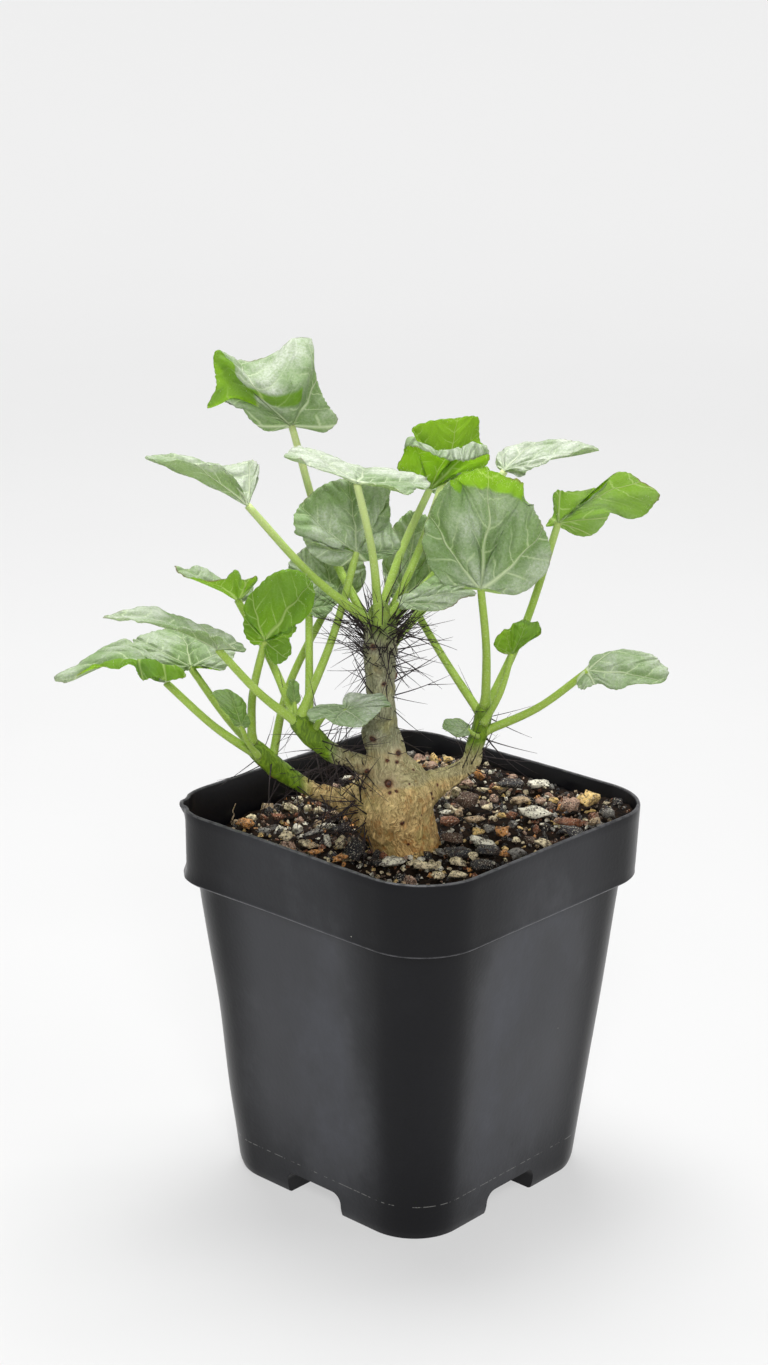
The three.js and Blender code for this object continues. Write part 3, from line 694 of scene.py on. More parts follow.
def smooth_line(points, count):
    """count + 1 places on a smooth line through the points"""
    ends = [2 * points[0] - points[1], *points, 2 * points[-1] - points[-2]]
    line = []
    for k in range(count + 1):
        place = k / count * (len(points) - 1)
        i = min(int(place), len(points) - 2)
        line.append(between(*ends[i:i + 4], place - i))
    return line


def on_ring(points, share):
    """A place on a closed smooth line whose points stand in the middle of equal shares of the round"""
    place = share * len(points) - 0.5
    i = math.floor(place)
    return between(*[points[(i + k) % len(points)] for k in (-1, 0, 1, 2)], place - i)


def tube(line, radius_at, sides):
    """A closed tube round a line; radius_at takes the share of the way"""
    side = Vector((0.31, -0.93, 0.17))
    rings = []
    last = len(line) - 1
    for k, centre in enumerate(line):
        along = (line[min(k + 1, last)] - line[max(k - 1, 0)]).normalized()
        side = (side - along * side.dot(along)).normalized()
        up = along.cross(side)
        radius = radius_at(k / last)
        turns = (2 * math.pi * j / sides for j in range(sides))
        rings.append([centre + radius * (math.cos(a) * side + math.sin(a) * up) for a in turns])
    return loft(rings)


def radius_along(axis):
    """The width of an axis at a share of its way"""
    def at(share):
        place = share * (len(axis) - 1)
        i = min(int(place), len(axis) - 2)
        return axis[i][3] + (axis[i + 1][3] - axis[i][3]) * (place - i)
    return at


# %% [markdown]
# ## Gritty mix
# The mix is pumice, red and black lava rock, and charcoal, one to six millimetres across, with dark dust
# between. The bed below is an uneven sheet with closed sides, near black for the dark dust and as painted
# shade in the gaps between the stones. Stones are hulls of random points, which gives the flat broken faces
# of crushed rock, and a few are softened into worn pumice.

# %% Height of the mix
MIX_LEVEL, MIX_RISE, BANK, BANK_REACH = 99.5, 0.05, 3.4, 38
row_right = to_row @ Vector((1, 0, 0))


def mix_height(x, y):
    """The mix is banked up towards the back right and rolls a little, in millimetres"""
    right = x * row_right.x + y * row_right.y
    away = y * row_right.x - x * row_right.y
    bank = part_way(right + 0.6 * away, 0, BANK_REACH)
    rolling = 0.7 * math.sin(x / 11) * math.cos(y / 13)
    return MIX_LEVEL + MIX_RISE * right + BANK * bank * bank * (3 - 2 * bank) + rolling


def inside_width(z):
    """The clear width inside the pot at a height"""
    if z > COLLAR_FOOT:
        return COLLAR_WIDTH + (RIM - COLLAR_WIDTH) * (z - COLLAR_FOOT) / COLLAR_DEPTH - 2 * WALL
    return BASE + (NECK - BASE) * z / COLLAR_FOOT - 2 * WALL


# %% Bed of the mix
def mix_bed(cells=90, depth=16, sunk=0.9):
    """A closed slab with an uneven top, drawn in to the rounded square of the pot"""
    half = inside_width(MIX_LEVEL) / 2 - 0.4
    straight = half - INSIDE_CORNER
    foot = MIX_LEVEL - depth
    narrower = inside_width(foot) / inside_width(MIX_LEVEL)
    points, faces = [], []
    for level in (0, 1):
        for i in range(cells + 1):
            for j in range(cells + 1):
                x, y = (2 * i / cells - 1) * half, (2 * j / cells - 1) * half
                cx, cy = max(0, abs(x) - straight), max(0, abs(y) - straight)
                if cx and cy:
                    pull = max(cx, cy) / math.hypot(cx, cy)
                    x = math.copysign(abs(x) - cx * (1 - pull), x)
                    y = math.copysign(abs(y) - cy * (1 - pull), y)
                coarse, fine = noise.noise(Vector((x, y, 3)) / 2.2), noise.noise(Vector((x, y, 9)) / 0.8)
                rough = coarse * 0.9 + fine * 0.4
                z = mix_height(x, y) - sunk + rough if level else foot
                shrink = 1 if level else narrower
                points.append(Vector((x * shrink, y * shrink, z)) * MM)
    row = cells + 1
    deck = row * row
    for i in range(cells):
        for j in range(cells):
            a, b = i * row + j, (i + 1) * row + j
            faces.append((a, a + 1, b + 1, b))
            faces.append((deck + a, deck + b, deck + b + 1, deck + a + 1))
    rim = [i * row for i in range(cells)] + [cells * row + j for j in range(cells)]
    rim += [i * row + cells for i in range(cells, 0, -1)] + list(range(cells, 0, -1))
    for k, a in enumerate(rim):
        b = rim[(k + 1) % len(rim)]
        faces.append((a, b, deck + b, deck + a))
    return mesh_object("mix_bed", points, faces)


def wall_gap(p):
    """How far a point of the bed is from the pot's wall, in millimetres"""
    half = inside_width(p.z / MM) / 2
    straight = half - INSIDE_CORNER
    x, y = abs(p.x) / MM, abs(p.y) / MM
    if max(x, y) > straight:
        return INSIDE_CORNER - math.hypot(max(0, x - straight), max(0, y - straight))
    return half - max(x, y)


bed = mix_bed()
print("bed faces:", len(bed.data.polygons))

# %% Shapes of stones
def any_way(dice):
    return Vector([dice.gauss(0, 1) for _ in range(3)]).normalized()


def broken_stone(name, seed, flat=0.7, worn=False):
    """A crushed stone about one unit across, to be scaled by the scatter"""
    dice = random.Random(seed)
    work = bmesh.new()
    ways = (any_way(dice) * dice.uniform(0.85, 1) for _ in range(15))
    wrapped(work, [(way.x * 0.55, way.y * 0.45, way.z * 0.45 * flat) for way in ways])
    if worn:
        bmesh.ops.subdivide_edges(work, edges=work.edges, cuts=1, use_grid_fill=True)
        for vert in work.verts:
            vert.co *= 1 + 0.16 * noise.noise(vert.co * 3 + Vector((seed, 0, 0)))
        smoothed(work)
    bmesh.ops.recalc_face_normals(work, faces=work.faces)
    mesh = bpy.data.meshes.new(name)
    work.to_mesh(mesh)
    work.free()
    mesh.polygons.foreach_set("use_smooth", [worn] * len(mesh.polygons))
    return linked(name, mesh)


# %% Finish of the stones
stone_finish, tree, shader = finish("crushed_rock")
place = object_place()
ramp = step("ShaderNodeValToRGB", {0: mark("tone")})
ramp.color_ramp.interpolation = "CONSTANT"
rock_tones = [
    # name, start on the ramp, colour
    ("black", 0.0, (0.010, 0.010, 0.012)), ("charcoal", 0.17, (0.030, 0.030, 0.034)),
    ("brown", 0.28, (0.10, 0.055, 0.034)), ("rust", 0.38, (0.24, 0.085, 0.035)),
    ("tan", 0.47, (0.46, 0.33, 0.19)), ("cream", 0.56, (0.78, 0.66, 0.42)),
    ("grey", 0.67, (0.22, 0.21, 0.19)), ("pink", 0.74, (0.42, 0.26, 0.18)),
    ("orange", 0.80, (0.62, 0.27, 0.07)), ("yellow", 0.85, (0.82, 0.56, 0.20)),
    ("pale", 0.90, (0.80, 0.76, 0.62))]
tone_of = {}
for k, (rock, at, shown) in enumerate(rock_tones):
    stop = ramp.color_ramp.elements[k] if k < 2 else ramp.color_ramp.elements.new(at)
    stop.position, stop.color = at, (*shown, 1)
    tone_of[rock] = at + 0.02
mottle = cloud(place, 700, 5, 0.75)
fleck = cloud(place, 2600, 3, 0.7)
pores = fade(step("ShaderNodeTexVoronoi", {"Vector": place, "Scale": 1300.0}).outputs["Distance"], 0.12, 0.38)
shade = tint(fade(mottle, 0.48, 0.60, 0.0, 0.8), ramp.outputs[0], (0.045, 0.024, 0.014))
shade = tint(fade(fleck, 0.57, 0.66, 0.0, 0.75), shade, (0.92, 0.84, 0.66))
# Painted shade: the pores are coloured near black, as if shadowed inside.
shade = tint(fade(pores, 0, 1, 0.85, 0.0), shade, (0.006, 0.005, 0.004))
height = plus(times(mottle, 1.4), times(pores, 0.6))
feed(shader, {"Base Color": shade, "Roughness": fade(mottle, 0.3, 0.7, 0.55, 0.95),
              "Normal": bump(height, 0.9, 0.0009)})
print("rock tones:", list(tone_of))

# %% [markdown]
# The stones that stand out in the photograph are laid one by one. Each is read as a pixel with a width and a
# height, and a ray through that pixel finds the bed below it. Its middle is lifted over the bed by a third of
# its thickness and a little more, and the strewn stones and grains close round it.

# %% Stones that the photograph shows
PIXEL, GROWN = 0.26, 1.25
LIFT, LIFT_SHARE = 1.3, 0.34
TWIG_FOOT = (231, 824)
seen_stones = [
    # pixel x, y, width, height, tone, tilt in degrees
    (245, 823, 19, 13, "orange", 10), (292, 808, 19, 10, "cream", 18), (308, 808, 10, 9, "cream", 0),
    (319, 811, 12, 10, "cream", 0), (336, 814, 15, 9, "tan", 8), (278, 816, 14, 10, "rust", 0),
    (266, 830, 15, 9, "grey", 0), (286, 836, 12, 14, "cream", 0), (298, 829, 10, 14, "pale", 0),
    (314, 833, 21, 8, "grey", -24), (304, 843, 13, 11, "cream", 0), (313, 846, 10, 9, "tan", 0),
    (315, 852, 15, 6, "orange", -5), (327, 841, 7, 14, "pale", -10), (341, 842, 10, 17, "cream", 8),
    (350, 841, 6, 9, "tan", 0), (356, 849, 19, 24, "black", 0), (342, 829, 20, 12, "black", 0),
    (340, 858, 19, 9, "orange", -18), (336, 773, 15, 8, "cream", -4), (348, 779, 12, 9, "pale", 0),
    (335, 786, 13, 7, "pink", 0), (300, 820, 9, 8, "pink", 0), (326, 826, 18, 5, "pale", -6),
    (392, 861, 27, 9, "pale", -8), (378, 863, 13, 9, "black", 0), (414, 863, 13, 7, "cream", 0),
    (432, 767, 12, 14, "pink", 0), (446, 767, 14, 10, "tan", 25), (457, 762, 6, 7, "tan", 0),
    (481, 774, 14, 15, "orange", 0), (468, 783, 12, 10, "pink", 0), (483, 789, 13, 6, "cream", 0),
    (498, 788, 10, 6, "yellow", 0), (512, 784, 27, 14, "charcoal", 0), (522, 771, 17, 11, "yellow", 0),
    (537, 769, 13, 14, "grey", 0), (549, 771, 13, 8, "pink", 0), (538, 784, 21, 14, "pale", 0),
    (553, 782, 11, 13, "pale", 0), (573, 783, 27, 9, "charcoal", -20), (466, 800, 23, 21, "brown", 0),
    (487, 806, 11, 11, "cream", 15), (521, 800, 17, 12, "tan", 0), (541, 801, 11, 9, "pink", 0),
    (536, 813, 33, 14, "pale", 6), (445, 812, 11, 7, "pale", 0), (458, 813, 10, 12, "tan", 0),
    (449, 821, 19, 15, "rust", 0), (473, 819, 21, 8, "tan", -6), (492, 818, 8, 6, "cream", 0),
    (502, 816, 9, 9, "yellow", 0), (513, 815, 13, 10, "rust", 0), (512, 824, 10, 9, "grey", 0),
    (477, 832, 15, 11, "yellow", 0), (488, 829, 13, 9, "grey", 0), (502, 831, 14, 15, "orange", 0),
    (483, 842, 25, 9, "pale", 22), (452, 838, 23, 15, "brown", 0), (459, 852, 23, 14, "charcoal", 0),
    (516, 840, 9, 8, "cream", 0), (488, 851, 23, 15, "charcoal", 0), (505, 853, 11, 11, "orange", 0),
    (518, 852, 17, 16, "grey", 0), (473, 856, 10, 10, "cream", 0), (482, 865, 21, 13, "black", 0),
    (458, 862, 19, 11, "cream", 14), (424, 865, 25, 13, "cream", 10), (438, 875, 15, 10, "cream", 0),
    (458, 874, 16, 9, "cream", 0), (571, 805, 21, 19, "pink", 0), (571, 822, 27, 13, "rust", 0),
    (592, 800, 25, 21, "yellow", 12), (609, 813, 15, 13, "grey", 0), (624, 803, 17, 13, "orange", 0),
    (607, 796, 11, 9, "pink", 0), (594, 821, 13, 11, "tan", 0), (543, 843, 17, 9, "cream", 8),
    (574, 832, 31, 8, "charcoal", 8)]
boxy_rocks = ("pale", "charcoal", "black")


def rough_stone(seed, boxy):
    """Points and faces of a knobbly stone one unit wide"""
    dice = random.Random(seed)
    work = bmesh.new()
    boxed = lambda v: math.copysign(abs(v) ** boxy, v) * dice.uniform(0.44, 0.52)
    wrapped(work, [[boxed(v) for v in any_way(dice)] for _ in range(16)])
    bmesh.ops.subdivide_edges(work, edges=work.edges, cuts=2, use_grid_fill=True)
    bmesh.ops.triangulate(work, faces=work.faces)
    bmesh.ops.recalc_face_normals(work, faces=work.faces)
    for vert in work.verts:
        place = vert.co + Vector((seed, 0, 0))
        vert.co *= 0.98 + 0.26 * noise.noise(place * 4) + 0.24 * noise.noise(place * 9)
    work.verts.index_update()
    made = [v.co.copy() for v in work.verts], [[v.index for v in f.verts] for f in work.faces]
    work.free()
    return made


bed_surface = surface_of(bed)
laid, tones, taken = [], [], []
for k, (x, y, wide, tall, rock, tilt) in enumerate(seen_stones):
    spot, way = seen_on(bed_surface, x, y)
    if spot is None:
        continue
    wide, tall = GROWN * wide * PIXEL * MM, GROWN * tall * PIXEL * MM
    deep = min(wide, max(0.5 * wide, tall * 1.3))
    thick = max(0.30 * wide, (tall - deep * math.sin(ELEVATION)) / math.cos(ELEVATION))
    centre = spot - way * (LIFT_SHARE * thick + LIFT * MM) / math.sin(ELEVATION)
    taken.append((centre.xy, 0.5 * wide + 1.4 * MM))
    turn = to_row @ Matrix.Rotation(math.radians(tilt), 4, "Y") @ Matrix.Diagonal((wide, deep, thick, 1))
    points, faces = rough_stone(60 + k, 0.8 if rock in boxy_rocks else 0.95)
    laid.append(([held_in_box(centre + turn.to_3x3() @ p) for p in points], faces))
    tones += [tone_of[rock]] * len(points)
foot = seen_on(bed_surface, *TWIG_FOOT)[0] - Vector((0, 0, 1.5 * MM))
lean = from_view((1.1, 0, 7.6))
kinks = [foot + lean * (k / 7) + from_view((0.3 * math.sin(k * 2.1), 0.2 * math.cos(k), 0)) for k in range(8)]
laid.append(tube(kinks, lambda s: (0.34 - 0.2 * s) * MM, 5))
tones += [tone_of["tan"]] * len(laid[-1][0])
seen = gather("seen_stones", laid)
store(seen.data, "tone", tones)
seen.data.materials.append(stone_finish)
print("seen stones:", len(laid), "faces:", len(seen.data.polygons))

# %% Lay the other stones and the grains
STONE_GAP, GRAIN_GAP = 3.4, 1.6


def free_spot(vert, gap):
    """1 where the bed is clear of the wall by gap millimetres and, for stones, of those laid above"""
    if vert.co.z < (MIX_LEVEL - 7) * MM or wall_gap(vert.co) < gap:
        return 0.0
    return 0.0 if gap == STONE_GAP and any((vert.co.xy - at).length < reach for at, reach in taken) else 1.0


store(bed.data, "grow", [free_spot(v, STONE_GAP) for v in bed.data.vertices])
shapes = [broken_stone(f"stone_{k}", k, 0.55 + 0.1 * (k % 4), k % 3 == 0) for k in range(9)]
stones = scattered("mix_stones", bed, shapes, stone_finish, 3.0, 0.17, (2.8 * MM, 5.8 * MM), math.pi, 4)
bed.data.attributes["grow"].data.foreach_set("value", [free_spot(v, GRAIN_GAP) for v in bed.data.vertices])
shapes = [broken_stone(f"grain_{k}", 40 + k) for k in range(5)]
grains = scattered("mix_grains", bed, shapes, stone_finish, 1.5, 0.32, (1.0 * MM, 2.6 * MM), math.pi, 11)

# %% Finish of the bed
soil_finish, tree, shader = finish("dark_fines_and_gap_shade")
mottle = cloud(object_place(), 700, 5, 0.7)
# Partly painted shade: the fines are near black, for the dark dust and for the shade in the gaps between
# stones.
shade = tint(fade(mottle, 0.35, 0.65), (0.0015, 0.0012, 0.001), (0.022, 0.013, 0.008))
feed(shader, {"Base Color": shade, "Roughness": fade(mottle, 0.3, 0.7, 0.75, 1.0), "Specular IOR Level": 0.08,
              "Normal": bump(mottle, 0.8, 0.001)})
bed.data.materials.append(soil_finish)
for piece in (bed, stones, grains, seen):
    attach(piece, "root")
    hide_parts("potting_mix")

# %% [markdown]
# ## Grown wood
# The caudex, the trunk and three shoots are one body. Each follows a smooth line with a width at every point.
# Four tubes are fused with a voxel Remesh, which fills the forks the way a plant does, and then the points
# are smoothed and roughened. Round scars sit where old leaves and shoots fell off.

# %% Axis points: x, y, z and radius in the view frame
caudex_and_trunk = [
    (2, -8.5, 80, 7.4), (0.6, -9.5, 90, 8), (-0.6, -10, 95, 8.8), (-1.2, -10, 98, 9.3), (-2, -10, 101, 9.2),
    (-2.9, -10, 104, 9.5), (-4.2, -10, 107, 10.4), (-5.2, -10, 110, 11.4), (-5.4, -10, 112.5, 11.6),
    (-5.1, -10, 115.3, 10.9), (-5.2, -10, 118, 9.3), (-6, -10, 121, 6.9), (-6.8, -10, 123.4, 5.6),
    (-7.4, -10, 126.5, 5.3), (-8.2, -10, 129.4, 5.1), (-8.9, -10, 131.2, 5.0), (-8.7, -10, 133, 4.7),
    (-8.4, -10, 134.6, 4.1), (-8.6, -10, 138, 4.0), (-8.9, -10, 143.3, 3.8), (-9.1, -10, 146.5, 4.1),
    (-9.1, -10, 149, 4.0), (-9.1, -10, 154.4, 4.6), (-9.1, -10, 158, 4.6), (-9.1, -10, 161, 4.5),
    (-9.1, -10.2, 164, 3.7), (-9.2, -10.4, 166.5, 2.4), (-9.2, -10.5, 168, 1.2)]
lower_left_shoot = [
    (-6, -9, 111, 6.2), (-12.5, -8.2, 110.6, 5.6), (-17, -7, 110.8, 4.2), (-20.5, -6.2, 111.2, 2.9),
    (-24, -5, 112.3, 2.2), (-29.2, -4, 114, 2.2), (-34.6, -4, 117.4, 2.6), (-38.1, -5, 120.5, 2.8),
    (-42.1, -6, 124.8, 2.6), (-43.6, -6, 126.8, 1.8)]
upper_left_shoot = [
    (-8.5, -11, 121, 4), (-12, -13, 123, 3), (-15, -15, 124.8, 2.3), (-18.2, -17, 126.6, 2.2),
    (-21.4, -19.6, 129, 2.7), (-23.6, -21, 131, 2.5), (-26.8, -22, 134.3, 3), (-30.2, -22, 138.1, 2.7),
    (-31.4, -22, 139.8, 1.7)]
right_shoot = [
    (-3, -9.5, 113, 6.4), (2, -8.8, 114.6, 5.4), (6, -7.2, 116, 3.9), (9.6, -6, 117.6, 2.9),
    (13.7, -4, 119.4, 2.4), (16, -3, 121.4, 2.6), (16.5, -3, 125, 2.4), (18.1, -3, 130.2, 2.5),
    (19, -3, 135.4, 2.4), (19.6, -3, 137.5, 1.7)]

# %% Fuse the four tubes
VOXEL = 0.38


def wood_tube(axis, steps=130, sides=44):
    line = smooth_line([Vector(p[:3]) for p in axis], steps)
    points, faces = tube(line, radius_along(axis), sides)
    return [from_view(p) for p in points], faces


axes_of_wood = [caudex_and_trunk, lower_left_shoot, upper_left_shoot, right_shoot]
wood = gather("wood", [wood_tube(axis) for axis in axes_of_wood])
fuse = wood.modifiers.new("fuse", "REMESH")
fuse.mode, fuse.voxel_size, fuse.use_smooth_shade = "VOXEL", VOXEL * MM, True
wood.data = baked(wood)
work = bmesh.new()
work.from_mesh(wood.data)
for _ in range(4):
    smoothed(work)
work.to_mesh(wood.data)
work.free()
print("wood:", len(wood.data.vertices), "points")

# %% [markdown]
# ## Scars and young growth
# The dark scars of the photograph are found by looking through the camera: a ray from its place to the pixel
# meets the wood at the scar. More scars are strewn on the far side, where nothing shows them. Four numbers
# are kept for the shader: how near a scar is, how near its pale ring is, how young the wood is, and how far
# up a point lies.

# %% Find the scars
wood_surface = surface_of(wood)
seen_scars = [
    # pixel x, y and size in millimetres
    (389, 784, 1.25), (390, 793, 0.55), (397, 791, 0.55), (373, 739, 1.0), (398, 753, 1.0), (387, 761, 0.6),
    (397, 762, 0.6), (367, 771, 0.8), (431, 794, 0.6), (437, 785, 0.5), (402, 823, 0.75), (421, 815, 0.35),
    (371, 791, 0.3), (410, 784, 0.3), (414, 769, 0.4), (373, 647, 0.9), (384, 684, 0.7), (418, 752, 0.6),
    (408, 845, 0.4), (360, 752, 0.9)]
scars = []
for x, y, size in seen_scars:
    spot = seen_on(wood_surface, x, y)[0]
    if spot:
        scars.append((spot, size * MM))
STREWN_SCARS = 46
dice = random.Random(5)
towards_camera = camera.matrix_world.to_3x3() @ Vector((0, 0, 1))
for _ in range(STREWN_SCARS):
    high = dice.uniform(104, 160)
    angle = dice.uniform(0, 2 * math.pi)
    way = Vector((math.cos(angle), math.sin(angle), 0))
    if way.dot(towards_camera) > 0.3:
        continue
    spot = wood_surface.ray_cast(from_view((-7, -10, high)) + way * 0.05, -way)[0]
    if spot:
        scars.append((spot, dice.uniform(0.35, 1.1) * MM))
print("scars:", len(scars))

# %% Roughen the wood and keep what the shader reads
def young_at(q):
    """1 on the green tips, 0 on corky bark, by the place along each shoot in the view frame"""
    if q.x < -21 and q.z < 129 and q.y > -12:
        return part_way(-q.x, 26.5, 30.5)
    if q.x < -12 and q.y < -11.5:
        return part_way(-q.x, 19.5, 22.5)
    if q.x > 11:
        return part_way(q.z, 122.5, 127.5)
    return part_way(q.z, 156.5, 161.5) * 0.8


def scar_marks(p):
    """How near a scar and its ring are, and how far its rim pushes the bark out"""
    close = ring = push = 0.0
    for spot, size in scars:
        apart = (p - spot).length / size
        ring = max(ring, math.exp(-(apart / 2.6) ** 2) * min(1, size / (1.2 * MM)) ** 2)
        if apart < 2.2:
            close = max(close, math.exp(-(apart / 1.15) ** 4))
            push += size * 0.22 * math.exp(-((apart - 0.9) / 0.5) ** 2)
    return close, ring, push


GROOVE, CLIMB_FROM, CLIMB_TO = 118.7, 98, 124
marks = {"scar": [], "halo": [], "young": [], "climb": []}
for vert, normal in zip(wood.data.vertices, [v.normal.copy() for v in wood.data.vertices]):
    p, q = vert.co, in_view(vert.co)
    close, ring, push = scar_marks(p)
    fresh = young_at(q)
    lump = noise.noise(p / (5 * MM)) * 0.4 + noise.noise(p / (1.9 * MM)) * 0.26
    drift = noise.noise(p / (7 * MM)) * 2.2
    ridge = 1 - abs(noise.noise(Vector(((q.x + drift) * 0.8, (q.y + drift) * 0.8, q.z * 0.24))))
    rough = (ridge - 0.78) * 0.95 * (1 - 0.72 * part_way(q.z, 119, 127))
    if q.z > 124 and abs(q.x + 9) < 6:
        rough += 0.14 * math.sin(q.z * 1.15 + 2 * noise.noise(p / (6 * MM)))
    on_axis = abs(q.x + 6) < 10 and abs(q.y + 10) < 10
    groove = -0.5 * math.exp(-((q.z - GROOVE - lump) / 0.6) ** 2) if on_axis else 0
    vert.co = p + normal * (push + groove * MM + (lump + rough * (1 - fresh)) * MM * (1 - 0.6 * fresh))
    for values, value in zip(marks.values(), (close, ring, fresh, part_way(q.z, CLIMB_FROM, CLIMB_TO))):
        values.append(value)
for name, values in marks.items():
    store(wood.data, name, values)
wood.data.update()
wood_surface = surface_of(wood)
print("green share:", round(sum(marks["young"]) / len(marks["young"]), 2))

# %% Finish of the bark
def pushed(place, scale, reach):
    """Coordinates that wander by up to reach"""
    swirl = step("ShaderNodeTexNoise", {"Vector": place, "Scale": scale, "Detail": 2.0}).outputs["Color"]
    centred = vector("SUBTRACT", swirl, (0.5, 0.5, 0.5))
    nudge = step("ShaderNodeVectorMath", {0: centred, "Scale": 2 * reach}, operation="SCALE").outputs[0]
    return vector("ADD", place, nudge)


bark, tree, shader = finish("caudex_bark")
place = object_place()
fibre_place = scaled(pushed(pushed(place, 70.0, 0.005), 380.0, 0.0008), (1, 1, 0.2))


def threads(scale, width):
    """Thin light lines where a stretched noise crosses its middle"""
    return fade(unsigned(minus(cloud(fibre_place, scale, 3, 0.6), 0.5)), 0.0, width, 1.0, 0.0)


fibres = fade(cloud(fibre_place, 900, 4, 0.7), 0.42, 0.58)
hairline = larger(threads(360, 0.045), threads(800, 0.075))
blotch = cloud(place, 150, 4, 0.6)
climb, fresh, scar, halo = (mark(name) for name in ("climb", "young", "scar", "halo"))
high = height_of(place)
on_trunk = larger(fade(high, 0.1178, 0.1192, 0.0, 0.55), fade(high, 0.120, 0.132))
deep = tint(on_trunk, tint(climb, (0.22, 0.085, 0.016), (0.20, 0.15, 0.035)), (0.13, 0.13, 0.062))
pale = tint(on_trunk, tint(climb, (0.84, 0.55, 0.21), (0.86, 0.71, 0.35)), (0.42, 0.42, 0.26))
shade = tint(fade(fibres, 0, 1, 0.25, 0.55), deep, pale)
shade = tint(times(hairline, 0.95), shade, pale)
shade = tint(fade(blotch, 0.50, 0.66, 0.0, 0.4), shade, (0.40, 0.36, 0.11))
rusty = times(fade(cloud(place, 230, 4, 0.7), 0.50, 0.64), fade(climb, 0.0, 0.7, 0.8, 0.3))
rusty = times(rusty, fade(on_trunk, 0, 1, 1.0, 0.2))
shade = tint(rusty, shade, (0.50, 0.19, 0.035))
shade = tint(times(halo, 0.85), shade, tint(on_trunk, (0.90, 0.62, 0.30), (0.56, 0.54, 0.40)))
shade = tint(fresh, shade, tint(fibres, (0.085, 0.155, 0.008), (0.165, 0.275, 0.015)))
shade = tint(times(scar, 0.85), shade, (0.16, 0.05, 0.012))
rise = times(plus(times(fibres, 0.5), times(hairline, 0.6)), fade(fresh, 0, 1, 1.0, 0.2))
feed(shader, {"Base Color": shade, "Roughness": fade(fresh, 0, 1, 0.6, 0.45), "Specular IOR Level": 0.25,
              "Normal": bump(rise, 0.9, 0.0006)})
wood.data.materials.append(bark)
print("bark:", len(tree.nodes), "nodes")

# %% Scabs on the scars
def scab(spot, size, seed, sides=12):
    """A low knobbly dome on the wood, sunk a little into it"""
    dice = random.Random(seed)
    spot = wood_surface.find_nearest(spot)[0]
    out = wood_surface.find_nearest(spot)[1]
    side = out.orthogonal().normalized()
    points = [spot + out * size * 0.42]
    rings = ((0.35, 0.40), (0.7, 0.26), (1.0, -0.25))
    for ring, (reach, rise) in enumerate(rings):
        for j in range(sides):
            turn = Matrix.Rotation(2 * math.pi * j / sides, 3, out)
            rough = 1 + 0.2 * noise.noise(Vector((j / 2, ring, seed)))
            up = out * size * rise * dice.uniform(0.7, 1.2)
            points.append(spot + turn @ side * size * reach * rough + up)
    last = len(points) - 1
    return points, disc_faces(len(rings), sides) + [tuple(range(last, last - sides, -1))]


scabs = gather("scabs", [scab(spot, size, k) for k, (spot, size) in enumerate(scars)])
scab_finish, tree, shader = finish("dry_scab")
shade = fade(cloud(object_place(), 1400, 3, 0.7), 0.35, 0.65)
feed(shader, {"Base Color": tint(shade, (0.016, 0.005, 0.003), (0.13, 0.035, 0.012)), "Roughness": 0.55,
              "Normal": bump(cloud(object_place(), 1800, 3), 0.6, 0.0003)})
scabs.data.materials.append(scab_finish)
print("scab faces:", len(scabs.data.polygons))

# %% [markdown]
# ## Bristles
# Stipules on this plant harden into fine dark bristles, some forked, thickest under the crown and at the
# forks of the shoots. Six bristle shapes are built as thin bent cones, and the scatter tree plants them where
# the wood says. A tuft of longer, wider leaning ones is added round the top of the trunk.

# %% Where bristles grow
def bristle_density(p):
    """How thickly bristles stand at a point of the wood"""
    q = in_view(p)
    if q.z > 126 and abs(q.x + 9) < 7 and -18 < q.y < -2:
        return 0.12 + 0.88 * part_way(q.z, 138, 158) ** 1.5 if q.z < 164 else 0.3
    if q.x < -17 and q.z < 124 and q.y > -12:
        return 0.6 if q.x > -33 else 0.12
    if q.x < -12 and q.y < -12:
        return 0.8 if q.x > -25 else 0.1
    if q.x > 12 and q.z > 119:
        return 0.2 if q.z > 126 else 0.5
    return 0.0


store(wood.data, "grow", [bristle_density(v.co) for v in wood.data.vertices])


def bristle(name, seed, fork=False):
    """A thin bent cone of unit length along +Z, and a side branch on some"""
    dice = random.Random(seed)
    way = dice.uniform(0, 2 * math.pi)
    sway = dice.uniform(0.03, 0.3)
    bend = lambda t: Vector((sway * math.cos(way) * t * t, sway * math.sin(way) * t * t, t))
    parts = [tube([bend(k / 7) for k in range(8)], lambda s: 0.0105 * (1 - s) + 0.0025, 4)]
    if fork:
        start = bend(dice.uniform(0.3, 0.6))
        tip = start + Vector((dice.uniform(-0.22, 0.22), dice.uniform(-0.22, 0.22), dice.uniform(0.25, 0.45)))
        branch = [start.lerp(tip, k / 3) + Vector((0, 0, 0.05 * (k / 3) ** 2)) for k in range(4)]
        parts.append(tube(branch, lambda s: 0.0075 * (1 - s) + 0.0018, 3))
    return gather(name, parts)


# %% Finish and planting of the bristles
bristle_finish, tree, shader = finish("dark_bristle")
shade = tint(cloud(object_place(), 300, 2), (0.008, 0.006, 0.008), (0.045, 0.030, 0.030))
feed(shader, {"Base Color": shade, "Roughness": 0.6, "Specular IOR Level": 0.3})
shapes = [bristle(f"bristle_{k}", 60 + k, k % 3 == 0) for k in range(6)]
bristles = scattered("bristles", wood, shapes, bristle_finish, 0.55, 0.36, (6 * MM, 17.5 * MM), 0.95, 3)

